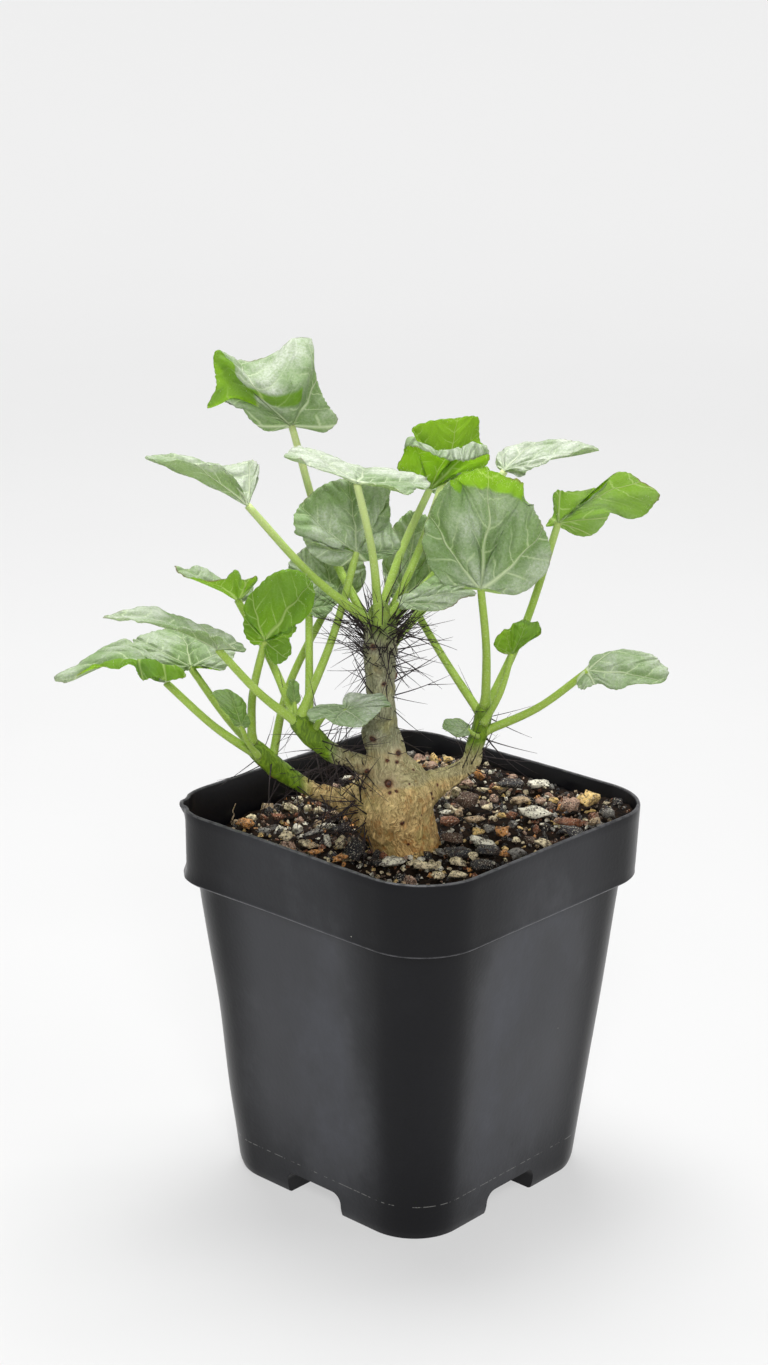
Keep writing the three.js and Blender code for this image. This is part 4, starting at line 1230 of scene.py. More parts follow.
# %% Tuft round the top of the trunk
TUFT_BRISTLES = 110
dice = random.Random(21)
upright, tuft_parts = Vector((0, 0, 1)), []
for _ in range(TUFT_BRISTLES):
    turn = dice.uniform(0, 2 * math.pi)
    out = Vector((math.cos(turn), math.sin(turn), 0))
    middle = from_view((-9.5, -9, dice.uniform(153, 163)))
    foot = wood_surface.ray_cast(middle + out * 12 * MM, -out)[0]
    lean = (out * dice.uniform(0.35, 1.0) + upright * dice.uniform(0.45, 1.0)).normalized()
    droop = out.cross(upright) * dice.uniform(-0.25, 0.25) + out * dice.uniform(-0.1, 0.25)
    reach = dice.uniform(6, 16) * MM
    if foot:
        line = [foot - out * 0.5 * MM + reach * (lean * t + droop * t * t) for t in (k / 6 for k in range(7))]
        tuft_parts.append(tube(line, lambda s: (0.16 * (1 - s) + 0.035) * MM, 4))
tuft = gather("crown_tuft", tuft_parts)
tuft.data.materials.append(bristle_finish)
print("tuft bristles:", len(tuft_parts))
for piece in (wood, bristles, tuft, scabs):
    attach(piece, "root")
    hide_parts("plant_body")

# %% [markdown]
# ## Leaf blades
# Each leaf is a round, heart-based blade on a long stalk. A flat outline with fine teeth gives the places of
# its veins. The blades that the photograph shows follow margins read off it, and the five hidden ones are
# drawn by rule. root is on the shoot and base is where the stalk meets the blade. face points out of the
# felted upper side, and along down the midrib of a blade drawn by rule.

# %% Leaf records, in millimetres in the view frame
leaves = [
    dict(name="leaf_crown_far_left", root=(-12, -8, 160), base=(-33.8, 22, 208), bow=(-1.5, 0, -3),
         face=(0.1, -0.85, 0.45), length=40, width=34, lobe=0.1, felt=0.8, under=0.85, crumple=0.45),
    dict(name="leaf_crown_left", root=(-10, -12, 161), base=(-43.9, -12, 193.6), bow=(0, 0, -2.5),
         face=(0.55, 0.02, 0.8), length=31, width=24, under=0.95, crumple=0.5, felt=0.85),
    dict(name="leaf_crown_front", root=(-9.5, -13, 162), base=(-15.4, -26, 202.8), bow=(1.2, 0, 0),
         face=(0.24, 0.04, 0.97), length=26, width=38, lobe=0.1, felt=0.9, under=0.7, crumple=0.4),
    dict(name="leaf_crown_back", root=(-9.5, -6, 162.5), base=(3.6, 12, 193), bow=(-1, 0, 0),
         face=(0.05, 0.93, 0.35), length=15, width=26, under=0.04),
    dict(name="leaf_crown_top", root=(-8.6, -5.5, 158.5), base=(8.5, 19, 197), bow=(1, -1, 0),
         face=(0, 0.9, 0.45), length=15.5, width=18.5, square=3.4, under=0.04),
    dict(name="leaf_crown_right", root=(-6.5, -8.5, 161.5), base=(23.3, 5, 199.8), bow=(1, 4, -3),
         face=(-0.25, -0.12, 0.95), length=26.5, width=22, felt=0.95, under=0.85, crumple=0.35),
    dict(name="leaf_crown_near_right", root=(-8, -11, 163), base=(-4, -11, 167.4), bow=(0, 0, 0),
         face=(-0.14, -0.22, 0.93), length=18.6, width=16, crumple=0.5),
    dict(name="leaf_crown_rear", root=(-6, -6, 155), base=(10.5, 27, 189.4), bow=(8, 0, 0),
         face=(0.3, -0.25, 0.9), along=(-0.8, 0.2, 0.35), length=9.5, width=13, wave=0.5, lobe=0.3),
    dict(name="leaf_b2_back", root=(-30, -22, 139), base=(-15.6, -4, 179.4), bow=(1, 0, -1),
         face=(0.1, -1, 0.3), length=20, width=30, lobe=0.25),
    dict(name="leaf_b2_left", root=(-30, -22.5, 137.5), base=(-50.8, -28, 159.3), bow=(0.5, 0, -2),
         face=(0.2, 0.07, 0.97), length=31.5, width=26, lobe=0.25, felt=0.8, under=0.7, crumple=0.5),
    dict(name="leaf_b2_small_left", root=(-31, -21, 138.4), base=(-47.5, 2, 164.3), bow=(1, 0, 0),
         face=(0.4, 0.1, 0.8), length=17, width=18),
    dict(name="leaf_b2_hidden", root=(-27.5, -21, 134.6), base=(-28.2, -3, 163.4), bow=(0, 1, 1),
         face=(-0.3, -0.8, 0.6), along=(0.5, 0.4, 0.5), length=9.5, width=11, wave=0.5),
    dict(name="leaf_b2_young", root=(-30.9, -22, 138.6), base=(-31.4, -21.2, 143.3), bow=(0, 0, 0),
         face=(0.2, -1, 0.1), along=(-0.1, 0.1, 1), length=6, width=3.8, cup=40, wave=0.3, stalk=0.7,
         felt=0.3),
    dict(name="leaf_b2_low", root=(-27, -22.2, 134.6), base=(-17.7, -32, 144.3), bow=(-0.5, 1.5, 2.2),
         face=(-0.05, -0.26, 0.9), length=12, width=17.5, lobe=0.85, sinus=0.5, stalk=0.9, crumple=0.5,
         felt=0.9),
    dict(name="leaf_b1_back", root=(-38.2, -4.8, 120.6), base=(-21.8, 6, 165.2), bow=(-4, 1, -3),
         face=(-0.1, -1, 0.3), length=14.5, width=25, lobe=0.25),
    dict(name="leaf_b1_left", root=(-41, -6.6, 122.8), base=(-66, -10, 144.7), bow=(0.5, 0, -2),
         face=(0.5, -0.02, 0.86), length=36, width=20, under=0.8, crumple=0.5),
    dict(name="leaf_b1_rear_left", root=(-42.2, -5.4, 124.4), base=(-61.1, 12, 142.3), bow=(0.5, 0, -2),
         face=(0.1, -0.3, 0.9), length=23, width=27, lobe=0.3, felt=0.66, crumple=0.4),
    dict(name="leaf_b1_near", root=(-43.4, -7, 127.3), base=(-39.3, -17, 158.6), bow=(-1.5, 0, -1),
         face=(-0.1, -1, 0.35), length=20, width=18, lobe=0.35, felt=0.06, crumple=0.6),
    dict(name="leaf_b1_young", root=(-41.6, -8, 123.6), base=(-45.8, -14, 134.4), bow=(-0.6, -0.6, 0),
         face=(0.2, -0.9, 0.4), length=11, width=9, stalk=0.8, felt=0.35),
    dict(name="leaf_b3_big", root=(19.4, -3.4, 137), base=(17.1, -12, 171.8), bow=(0.8, 0, 0),
         face=(0, -1, 0.14), length=33, width=34, lobe=0.05, stalk=1.25),
    dict(name="leaf_b3_far_right", root=(19.3, -1.8, 134.6), base=(38.2, 8, 185.2), bow=(1, 0, -2),
         face=(0.2, 0.85, 0.5), length=28.5, width=14.5, felt=0.4, under=0.3, crumple=0.45),
    dict(name="leaf_b3_small", root=(18.9, -5, 132.6), base=(26.1, -5, 152.3), bow=(0.8, -1.4, -0.5),
         face=(-0.3, 0.8, 0.4), length=11, width=13, stalk=0.9, felt=0.12, under=0.1),
    dict(name="leaf_b3_right", root=(18.2, -3.2, 129.4), base=(46.4, -6, 148), bow=(1, 0, -1.6),
         face=(-0.05, -0.4, 0.85), length=23.5, width=16, lobe=0.05, felt=0.7, crumple=0.4),
    dict(name="leaf_b3_back_left", root=(18.8, -2.8, 133.6), base=(-2.4, 14, 163.6), bow=(0, 0, -1),
         face=(0.15, -1, 0.2), along=(0.12, 0.15, 0.95), length=22.5, width=15, wave=0.7, lobe=0.15),
    dict(name="leaf_b3_young", root=(17.9, -3.6, 128.6), base=(14.6, -8.4, 132), bow=(0.3, -0.6, -0.4),
         face=(0.1, -0.5, 0.8), along=(-0.9, -0.1, 0.2), length=7, width=6, wave=0.3, stalk=0.7, felt=0.5),
]
print("leaves:", len(leaves))

# %% [markdown]
# ## Margins as the photograph shows them
# No two leaves curl alike, so the margins that the photograph shows are read off it. Each entry of edge
# is a pixel across, a pixel down, and how many millimetres that point lies behind the leaf's base. They run
# from the notch at the stalk round by the side that the blade's across direction points to. over holds the
# crest of a fold for some of those points, and over_at is the share of the way from the stalk to the margin
# where the crest lies. The last key names windows of painted light, where the felt is thinned so that backlit
# parts glow and folds show painted shade: from and to along the points of edge, from and to on the way
# outwards.

# %% Margins and crests
seen_margins = {
    "leaf_crown_far_left": dict(
        edge=[(312, 426, 0), (326, 431, -1), (338, 420, -1.5), (330, 408, 0), (323, 396, 0.5), (317, 379, 1),
              (311, 344, 6), (304, 330, 8), (289, 343, 6), (267, 359, 4), (244, 363, 2), (228, 357, -1),
              (215, 352, -4), (216, 370, -3), (217, 386, -2), (207, 407, -2), (226, 392, 3), (225, 404, -1),
              (239, 405, -1), (251, 420, -1), (266, 431, -1), (280, 430, -0.5)],
        over={6: (305, 380, -3), 7: (297, 387, -5), 8: (286, 391, -6), 9: (275, 393, -6), 10: (262, 391, -6),
              11: (249, 384, -6), 12: (239, 375, -5), 13: (240, 382, -4), 14: (242, 388, -3),
              15: (241, 394, -2), 16: (244, 399, 0), 17: (248, 405, -1), 18: (257, 411, -1)}, over_at=0.5,
        painted_light_windows=[(11.6, 16.2, 0.3, 1.1), (6.5, 11.6, 0.3, 0.48)]),
    "leaf_crown_left": dict(
        edge=[(248, 490, 4), (256, 478, 9), (256, 467, 11), (251, 461, 11), (238, 465, 11), (218, 466, 11),
              (192, 460, 9), (165, 455, 5), (144, 460, 0), (156, 464, -3), (178, 463, -6), (200, 465, -8),
              (219, 467, -9), (229, 477, -8), (239, 490, -5)]),
    "leaf_crown_front": dict(
        edge=[(374, 484, -4), (397, 489, -6), (408, 496, -4), (416, 491, -1), (428, 490, 3), (428, 482, 9),
              (414, 476, 14), (383, 470, 19), (352, 466, 21), (330, 456, 19), (303, 448, 13), (292, 450, 8),
              (284, 459, 3), (299, 461, -2), (313, 467, -5), (342, 477, -5)]),
    "leaf_b2_back": dict(
        edge=[(363, 562, -1), (389, 556, -2), (396, 552, -2), (401, 546, -2), (395, 532, 0), (390, 520, 4),
              (387, 502, 4), (388, 488, 3), (377, 481, 3), (357, 479, 4), (340, 479, 3), (321, 486, 1),
              (305, 499, -1), (295, 512, -4), (292, 525, -7), (304, 531, -5), (304, 538, 0), (310, 552, 0),
              (328, 564, -1), (345, 566, -1)]),
    "leaf_crown_back": dict(
        edge=[(423, 476, 0), (409, 472, -1), (398, 469, -2), (403, 457, -2), (409, 447, -4), (423, 451, -5),
              (437, 458, -6), (451, 461, -6), (463, 463, -6), (475, 459, -5), (485, 454, -2), (490, 458, 2),
              (484, 467, 3), (462, 472, 2), (443, 474, 1)],
        over={4: (411, 440, -2), 5: (418, 443, -2), 6: (438, 453, -2.5), 7: (450, 450, -2.5),
              8: (462, 451, -2), 9: (473, 444, -2), 10: (483, 451, -2)}, over_at=0.75),
    "leaf_crown_top": dict(
        edge=[(438, 464, 0), (428, 456, 0), (419, 446, 0), (415, 440, 0), (412, 429, -1), (428, 422, 0),
              (450, 419, 0), (466, 417, 0), (478, 418, 0), (479, 430, 0), (480, 441, 0), (489, 453, 1),
              (480, 462, 1), (462, 469, 0)]),
    "leaf_crown_right": dict(
        edge=[(512, 474, -2), (523, 476, -6), (529, 471, -8), (541, 466, -9), (554, 459, -8), (570, 456, -6),
              (586, 450, -3), (599, 450, 0), (588, 446, 3), (570, 442, 6), (552, 441, 8), (530, 443, 9),
              (508, 448, 9), (499, 454, 7), (497, 468, 3)]),
    "leaf_b3_far_right": dict(
        edge=[(546, 527, 1), (554, 514, -1), (555, 505, -2), (557, 491, -1), (568, 492, -1), (588, 491, 0),
              (603, 485, 0), (612, 475, -1), (626, 473, -1), (641, 481, 0), (660, 495, 0), (655, 503, -1),
              (645, 515, -1), (625, 519, -1), (611, 513, 1.5), (606, 521, 1), (592, 535, -1), (575, 535, -1),
              (561, 528, 0)],
        over={9: (602, 494, 0), 10: (603, 499, 0), 11: (603, 503, 0), 12: (602, 506, 0), 13: (600, 509, 0)}),
    "leaf_b3_big": dict(
        edge=[(492, 590, 0), (508, 594, 1), (526, 588, 2), (543, 572, 2), (550, 554, 1), (546, 534, 1),
              (538, 517, 1), (529, 503, 1), (521, 476, -6), (505, 472, -8), (486, 467, -9), (470, 467, -9),
              (457, 473, -5), (449, 483, 1), (437, 501, 4), (428, 521, 6), (425, 539, 6), (429, 561, 5),
              (441, 579, 3), (457, 586, 1), (470, 588, 0)],
        over={7: (527, 506, 1), 8: (519, 496, 1.6), 9: (508, 492, 2.2), 10: (490, 488, 2.6),
              11: (475, 485, 2.6), 12: (461, 484, 2)}, over_at=0.82, painted_light_windows=[(7.4, 12.6, 0.84, 1.1)]),
    "leaf_crown_near_right": dict(
        edge=[(399, 608, -1), (414, 610, -4), (437, 612, -5), (454, 606, -4), (463, 599, -3), (476, 596, -1),
              (472, 590, 1), (459, 587, 3), (446, 581, 4), (434, 576, 6), (426, 589, 4), (408, 594, 2),
              (398, 601, 1)]),
    "leaf_b2_left": dict(
        edge=[(228, 646, 3), (245, 652, 6), (235, 641, 10), (217, 632, 12), (191, 623, 12), (168, 615, 11),
              (148, 608, 9), (128, 611, 5), (103, 619, 0), (124, 621, -5), (150, 626, -9), (168, 628, -11),
              (187, 631, -12), (207, 636, -11), (224, 643, -9), (239, 650, -5)],
        over={7: (170, 622, 3), 8: (160, 624, 0), 9: (168, 627, -3), 10: (180, 632, -5), 11: (190, 637, -6)}),
    "leaf_b1_left": dict(
        edge=[(168, 671, 4), (178, 676, 6), (161, 669, 10), (143, 660, 11), (133, 644, 10), (124, 642, 9),
              (106, 649, 8), (87, 660, 6), (68, 673, 3), (56, 682, 0), (65, 684, -2), (83, 674, -5),
              (97, 667, -7), (115, 671, -9), (131, 666, -10), (136, 673, -11), (143, 680, -12),
              (154, 678, -12), (168, 681, -11), (184, 678, -8), (185, 673, -4)],
        over={4: (150, 658, 5), 5: (145, 654, 4), 6: (138, 651, 4), 7: (132, 651, 3), 8: (126, 654, 2),
              9: (122, 657, 0), 10: (122, 660, -2), 11: (125, 662, -4), 12: (131, 663, -6),
              13: (138, 665, -7), 14: (144, 667, -8), 16: (139, 660, -9), 17: (150, 662, -9),
              18: (165, 666, -8), 19: (180, 670, -6)}, painted_light_windows=[(10.7, 19.6, 0.3, 1.1)]),
    "leaf_b1_rear_left": dict(
        edge=[(198, 666, -2), (209, 671, -4), (222, 670, -2), (232, 661, 2), (235, 651, 6), (228, 640, 11),
              (209, 632, 15), (191, 628, 17), (172, 629, 17), (154, 633, 14), (139, 638, 10), (133, 642, 7),
              (139, 654, 3), (157, 667, -1), (180, 672, -3), (188, 670, -1.5)]),
    "leaf_b2_small_left": dict(
        edge=[(243, 602, 3), (250, 594, 6), (252, 584, 9), (240, 584, 11), (232, 581, 11), (222, 582, 10),
              (208, 577, 8), (199, 567, 6), (187, 570, 3), (174, 568, 0), (180, 576, -3), (191, 580, -5),
              (204, 581, -7), (227, 580, -9), (235, 573, -9), (242, 580, -9), (256, 578, -8),
              (250, 591, -5)]),
    "leaf_b1_near": dict(
        edge=[(265, 653, 0), (272, 661, -1), (281, 663, -2), (291, 653, -1), (289, 637, 1), (296, 629, 0),
              (296, 621, 0), (307, 615, -1), (315, 592, -2), (304, 573, 0), (286, 569, 1), (270, 575, 1),
              (257, 587, 0), (245, 602, -2), (246, 612, -1), (243, 626, -2), (249, 640, -1), (258, 645, 0)]),
    "leaf_b1_young": dict(
        edge=[(246, 728, 0), (250, 723, 0), (246, 712, 0), (243, 700, -1), (234, 692, -2), (225, 689, -2),
              (212, 692, -2), (218, 702, -2), (228, 713, -1), (236, 726, 0)]),
    "leaf_b3_small": dict(
        edge=[(505, 654, 0), (497, 649, 1), (494, 645, 1), (497, 638, 1), (502, 633, 0), (505, 629, 0),
              (510, 629, 0), (514, 624, 1), (519, 620, 2), (525, 619, 3), (532, 621, 3), (538, 621, 3),
              (541, 627, 2), (541, 632, 1), (538, 635, 0), (533, 634, 0), (527, 641, 0), (520, 648, 0),
              (514, 654, 0)],
        over={8: (519, 624, -1), 9: (525, 626, -1), 10: (530, 628, -1), 11: (535, 630, -1),
              12: (538, 632, -1)}, over_at=0.8),
    "leaf_b3_right": dict(
        edge=[(578, 676, -1), (577, 685, -2), (582, 690, -3), (590, 687, -4), (599, 684, -4), (608, 689, -5),
              (619, 690, -5), (633, 685, -4), (650, 685, -3), (665, 681, -1), (668, 671, 1), (660, 663, 3),
              (656, 659, 4), (640, 654, 6), (623, 651, 7), (609, 652, 7), (594, 659, 6), (590, 664, 4),
              (584, 670, 1)]),
    "leaf_b2_low": dict(
        edge=[(341, 705, 2), (330, 705, 2), (315, 707, 0), (307, 713, -2), (313, 722, -5), (325, 719, -5),
              (334, 724, -6), (346, 727, -6), (359, 728, -6), (370, 721, -4), (379, 713, -1), (383, 707, 2),
              (391, 707, 3), (387, 700, 5), (383, 695, 6), (365, 695, 7), (349, 694, 8), (343, 699, 5)]),
    "leaf_b1_back": dict(
        edge=[(341, 599, 0), (352, 596, 0), (363, 585, 0), (366, 573, 0), (363, 561, 1), (349, 551, 2),
              (331, 545, 3), (311, 544, 3), (298, 553, 1), (289, 562, 0), (291, 570, 0), (306, 581, 0),
              (317, 593, 0), (326, 599, 0)]),
}


def seen_point(leaf, x, y, deep):
    """What a pixel shows on the upright plane that lies deep millimetres behind a leaf's base"""
    start, way = (to_row.inverted() @ v for v in through_pixel(x, y))
    start = start / MM
    return start + way * ((leaf["base"][1] + deep - start.y) / way.y)


print("margins read in the photograph:", len(seen_margins))

# %% [markdown]
# ## Drawing a blade
# A blade is a fan of rings from the stalk's end to the margin. Veins run out from that end like fingers, so
# the distance to the nearest finger is found from the angle alone, and the sheet puffs up between the veins.

# %% Flat outline with fine teeth
UNEVEN, RIPPLES = 0.07, 5


def notch_gap(phase):
    """How far a phase is from the notch at the stalk"""
    return min(phase, 2 * math.pi - phase)


def blade_outline(leaf, sectors, teeth, seed):
    """Flat points of the margin, with the phase of each"""
    lobe, sinus, square = leaf.get("lobe", 0.18), leaf.get("sinus", 0.85), leaf.get("square", 2.2)
    half = leaf["length"] * (1 + lobe) / 2
    points = []
    for j in range(sectors):
        phase = 2 * math.pi * (j + 0.5) / sectors
        s, c = math.sin(phase), -math.cos(phase)
        reach = (abs(s) ** square + abs(c) ** square) ** (-1 / square)
        cut = 1 - sinus * math.exp(-(notch_gap(phase) / 0.4) ** 2)
        ring = Vector((math.cos(phase), math.sin(phase), seed))
        wobble = noise.noise(ring * 1.5) + 0.5 * noise.noise(ring * 4)
        uneven = 1 + UNEVEN * wobble * (1 - math.exp(-(s * s + (c - 1) ** 2) * 2))
        bite = math.sin((phase + 0.35 * noise.noise(ring * 5)) * teeth / 2)
        toothed = min(1, 3 * abs(s) + (c > 0))
        tooth = 1 + (0.026 * (abs(bite) ** 0.7 - 0.6) + 0.02 * noise.noise(ring * 14)) * toothed
        points.append((leaf["width"] / 2 * s * reach * cut * tooth * uneven,
                       (leaf["length"] - half + half * c * reach) * cut * tooth * uneven, phase))
    return points


# %% Blades drawn by rule
def ruled_blade(leaf):
    """A function of a flat place, a phase and a share that gives a point of the rippled or cupped blade"""
    base, along, face = (Vector(leaf[key]) for key in ("base", "along", "face"))
    along = along.normalized()
    face = (face - along * face.dot(along)).normalized()
    across = along.cross(face)
    bend = math.radians(leaf.get("cup", 0)) / (leaf["width"] / 2)

    def at(u, v, phase, share):
        aside, high = u * share, leaf["wave"] * share * share * math.sin(RIPPLES * phase)
        if bend:
            inner, turn = 1 / bend - high, bend * aside
            aside, high = inner * math.sin(turn), 1 / bend - inner * math.cos(turn)
        return base + across * aside + along * (v * share) + face * high

    return at


# %% Blades with a margin from the photograph
BULGE, NOTCH_PULL = 0.4, 0.75


def seen_blade(leaf, seed):
    """The same kind of function, which needs no flat place and goes over the crests to the traced margin"""
    margin = seen_margins[leaf["name"]]
    base, face = Vector(leaf["base"]), Vector(leaf["face"]).normalized()
    crest_at = margin.get("over_at", 0.55)
    edge = [seen_point(leaf, *spot) for spot in margin["edge"]]
    crest = [base.lerp(p, crest_at) + face * BULGE for p in edge]
    for k, spot in margin.get("over", {}).items():
        crest[k] = seen_point(leaf, *spot)
    teeth = 2.3 * sum((p - q).length for p, q in zip(edge, edge[1:])) / 4

    def at(u, v, phase, share):
        end, middle = (on_ring(line, phase / (2 * math.pi)) for line in (edge, crest))
        pull = NOTCH_PULL * math.exp(-(notch_gap(phase) / 0.11) ** 2)
        chance = noise.noise(Vector((phase * teeth / 3, seed, 0)))
        bite = 0.5 * abs(math.sin(phase * teeth / 2)) + 0.4 * chance
        end = end + (end - middle).normalized() * (bite - 0.3) * min(0.5, leaf["length"] / 40)
        end, middle = end.lerp(base, pull), middle.lerp(base, pull)
        slope = end - base
        if share < crest_at:
            near, far, span, done = base, middle, crest_at, share
            leaving, coming = 2 * (middle - base) / crest_at - slope, slope
        else:
            near, far, span, done = middle, end, 1 - crest_at, share - crest_at
            leaving, coming = slope, (end - middle) / span
        t = done / span
        smooth, early, late = 3 * t ** 2 - 2 * t ** 3, t ** 3 - 2 * t ** 2 + t, t ** 3 - t ** 2
        return near.lerp(far, smooth) + leaving * span * early + coming * span * late

    return at


# %% Veins like fingers
VEIN_STEP, VEIN_BEND, SIDE_VEINS = math.radians(50), 0.25, 4.6
RUNG_SLANT, RUNG_SHIFT, RUNG_DRIFT = 0.75, 0.25, 0.6


def wander(u, v, size, seed):
    """A flat place pushed a little aside, so that veins aren't straight"""
    spot = Vector((u * 5 / size, v * 5 / size, seed))
    reach = 0.03 * size * min(1, 3 * math.hypot(u, v) / size)
    return u + reach * noise.noise(spot), v + reach * noise.noise(spot + Vector((9, 0, 0)))


def vein_gaps(u, v):
    """Distances to the nearest main vein and to the nearest side vein, in shares of the blade's length"""
    reach = math.hypot(u, v)
    finger = math.atan2(abs(u), v) * (1 + VEIN_BEND * reach) / VEIN_STEP
    signed = (finger + 0.5) % 1 - 0.5
    across = reach * math.sin(abs(signed) * VEIN_STEP)
    ahead = reach * math.cos(abs(signed) * VEIN_STEP)
    rung = (ahead - RUNG_SLANT * across) * SIDE_VEINS + RUNG_DRIFT * u + math.copysign(RUNG_SHIFT, signed)
    return across, abs(rung % 1 - 0.5) * 0.8 / SIDE_VEINS


def relief(leaf, u, v, share, seed):
    """How far the sheet stands off its smooth form, in millimetres"""
    size = leaf["length"]
    main_gap, side_gap = (gap * size for gap in vein_gaps(u / size, v / size))
    puff = 0.85 * (1 - math.exp(-(main_gap / 1.6) ** 2))
    puff += 0.75 * (1 - math.exp(-(side_gap / 1.1) ** 2)) * (1 - math.exp(-(main_gap / 1.2) ** 2))
    slow = noise.noise(Vector((u / 7, v / 7, seed))) * 1.1 * share
    quick = noise.noise(Vector((u / 2.3, v / 2.3, seed + 5))) * (0.1 + 0.45 * share ** 6)
    return (puff + slow + quick) * leaf.get("crumple", 0.8) * min(1, size / 22)


# %% Blade and stalk as points and faces
def leaf_sheet(leaf, seed):
    """The middle sheet of a blade, its outward directions, faces, flat places, shares and sector count"""
    small = leaf["length"] < 13
    sectors, rings, teeth = (120, 12, 34) if small else (216, 20, 66)
    blade = seen_blade(leaf, seed) if leaf["name"] in seen_margins else ruled_blade(leaf)
    outline = blade_outline(leaf, sectors, teeth, seed)
    flat, shares, sheet = [(0, 0)], [0.0], [Vector(leaf["base"])]
    for i in range(1, rings + 1):
        share = (i / rings) ** 0.9
        for u, v, phase in outline:
            sheet.append(blade(u, v, phase, share))
            flat.append(wander(u * share, v * share, leaf["length"], seed))
            shares.append(share)
    faces = disc_faces(rings, sectors)
    out = [Vector() for _ in sheet]
    for f in faces:
        n = (sheet[f[1]] - sheet[f[0]]).cross(sheet[f[2]] - sheet[f[0]])
        for index in f:
            out[index] += n
    out = [n.normalized() for n in out]
    sheet = [p + n * relief(leaf, u, v, s, seed) for p, n, (u, v), s in zip(sheet, out, flat, shares)]
    return sheet, out, faces, flat, shares, sectors


def leaf_stalk(leaf):
    """The stalk from the shoot to the blade, a little wider at its foot"""
    root, base = Vector(leaf["root"]), Vector(leaf["base"])
    middle = (root + base) / 2 + Vector(leaf["bow"])
    radius, reach = leaf.get("stalk", 1.22), (base - root).length

    def swell(s):
        return radius * (1.0 - 0.2 * s + 0.4 * math.exp(-((s * reach) / 2.2) ** 2) + 0.02 * math.sin(s * 9))

    return tube(smooth_line([root, middle, base], 26), swell, 12)


print("stalk points:", len(leaf_stalk(leaves[0])[0]))

# %% [markdown]
# ## Leaf finish
# Felt makes the upper side whitish, and the blade is thin enough to glow yellow green where light comes
# through. A Principled shader gives the felted skin and a Translucent one the glow. Inside the closed blade
# every ray goes on through, so two faces pass as much light as one leaf does. The vein pattern is one group,
# used on both sides.

# %% Vein pattern as a shader group
vein_group, flat_place, leave = pattern_group("palmate_veins", "Flat", ("Main", "Side", "Net", "Pillow"))
tree = vein_group
split = step("ShaderNodeSeparateXYZ", {0: flat_place})
reach = vector("LENGTH", flat_place)
angle = sums("ARCTAN2", unsigned(split.outputs["X"]), split.outputs["Y"])
bent = times(angle, sums("MULTIPLY_ADD", reach, VEIN_BEND, 1.0))
finger = plus(sums("DIVIDE", bent, VEIN_STEP), 0.5)
signed = minus(sums("FRACT", finger), 0.5)
turn = times(unsigned(signed), VEIN_STEP)
across, ahead = (times(reach, sums(operation, turn)) for operation in ("SINE", "COSINE"))
width = minus(fade(reach, 0.0, 0.95, 0.021, 0.006), times(sums("FLOOR", finger), 0.0035))
main = sums("SUBTRACT", 1.0, sums("DIVIDE", across, larger(width, 0.005)), clamp=True)
stagger = times(sums("SIGN", signed), RUNG_SHIFT)
rung = times(minus(ahead, times(across, RUNG_SLANT)), SIDE_VEINS)
rung = plus(rung, sums("MULTIPLY_ADD", split.outputs["X"], RUNG_DRIFT, stagger))
rung = unsigned(minus(sums("FRACT", rung), 0.5))
cells = step("ShaderNodeTexVoronoi", {"Vector": flat_place, "Scale": 26.0}, feature="DISTANCE_TO_EDGE")
net = cells.outputs["Distance"]
feed(leave, {"Main": main, "Net": fade(net, 0.0, 0.14, 1.0, 0.0),
             "Side": times(fade(rung, 0.0, 0.07, 1.0, 0.0), fade(across, 0.0, 0.24, 1.0, 0.15)),
             "Pillow": times(fade(across, 0.0, 0.09), fade(rung, 0.0, 0.4, 0.45, 1.0))})
print("vein group:", len(tree.nodes), "nodes")

# %% Felted blade
blade_finish, tree, shader = finish("felted_leaf")
place = object_place()
flat_map = step("ShaderNodeUVMap", uv_map="blade").outputs[0]
veins = step("ShaderNodeGroup", {"Flat": flat_map}, node_tree=vein_group)
main, side, net, pillow = (veins.outputs[n] for n in ("Main", "Side", "Net", "Pillow"))
upper, rim, felt = (mark(name) for name in ("upper", "rim", "felt"))
fuzz = cloud(place, 1500, 4, 0.7)
patch = cloud(place, 110, 3, 0.6)
skin = tint(upper, (0.12, 0.24, 0.016), tint(patch, (0.07, 0.16, 0.018), (0.12, 0.24, 0.028)))
# felt is thinned in the windows of painted light, which darkens the green there and strengthens the glow
# below.
wool = times(felt, fade(fuzz, 0.3, 0.7, 0.5, 1.0))
wool = times(wool, fade(cloud(place, 75, 2), 0.38, 0.62, 0.45, 1.15))
# Painted shade: the felt is paler in the middle of each pillow and darker in the valleys beside the veins.
wool = times(wool, fade(pillow, 0.0, 1.0, 0.82, 1.05))
shade = tint(wool, skin, (0.58, 0.61, 0.54))
pale = larger(larger(times(main, 0.8), times(side, 0.5)), times(net, 0.07))
shade = tint(pale, shade, tint(felt, (0.46, 0.60, 0.20), (0.76, 0.83, 0.62)))
purple = times(fade(rim, 0.975, 1.0), fade(patch, 0.5, 0.7, 0.0, 0.75))
shade = tint(purple, shade, (0.20, 0.13, 0.10))
height = plus(plus(times(fuzz, 0.22), times(pillow, 0.9)), times(main, 0.5))
feed(shader, {"Base Color": shade, "Roughness": 0.7, "Specular IOR Level": 0.15,
              "Sheen Weight": times(wool, 0.25), "Sheen Roughness": 0.5,
              "Normal": bump(height, 0.75, 0.0013)})
inside = step("ShaderNodeNewGeometry").outputs["Backfacing"]
glow = tint(patch, (0.25, 0.50, 0.006), (0.38, 0.66, 0.012))
glow = tint(times(pale, 0.85), glow, (0.78, 0.90, 0.38))
glow = tint(purple, glow, (0.24, 0.12, 0.04))
glow = tint(inside, glow, (0.95, 1.0, 0.8))
through = step("ShaderNodeBsdfTranslucent", {"Color": glow})
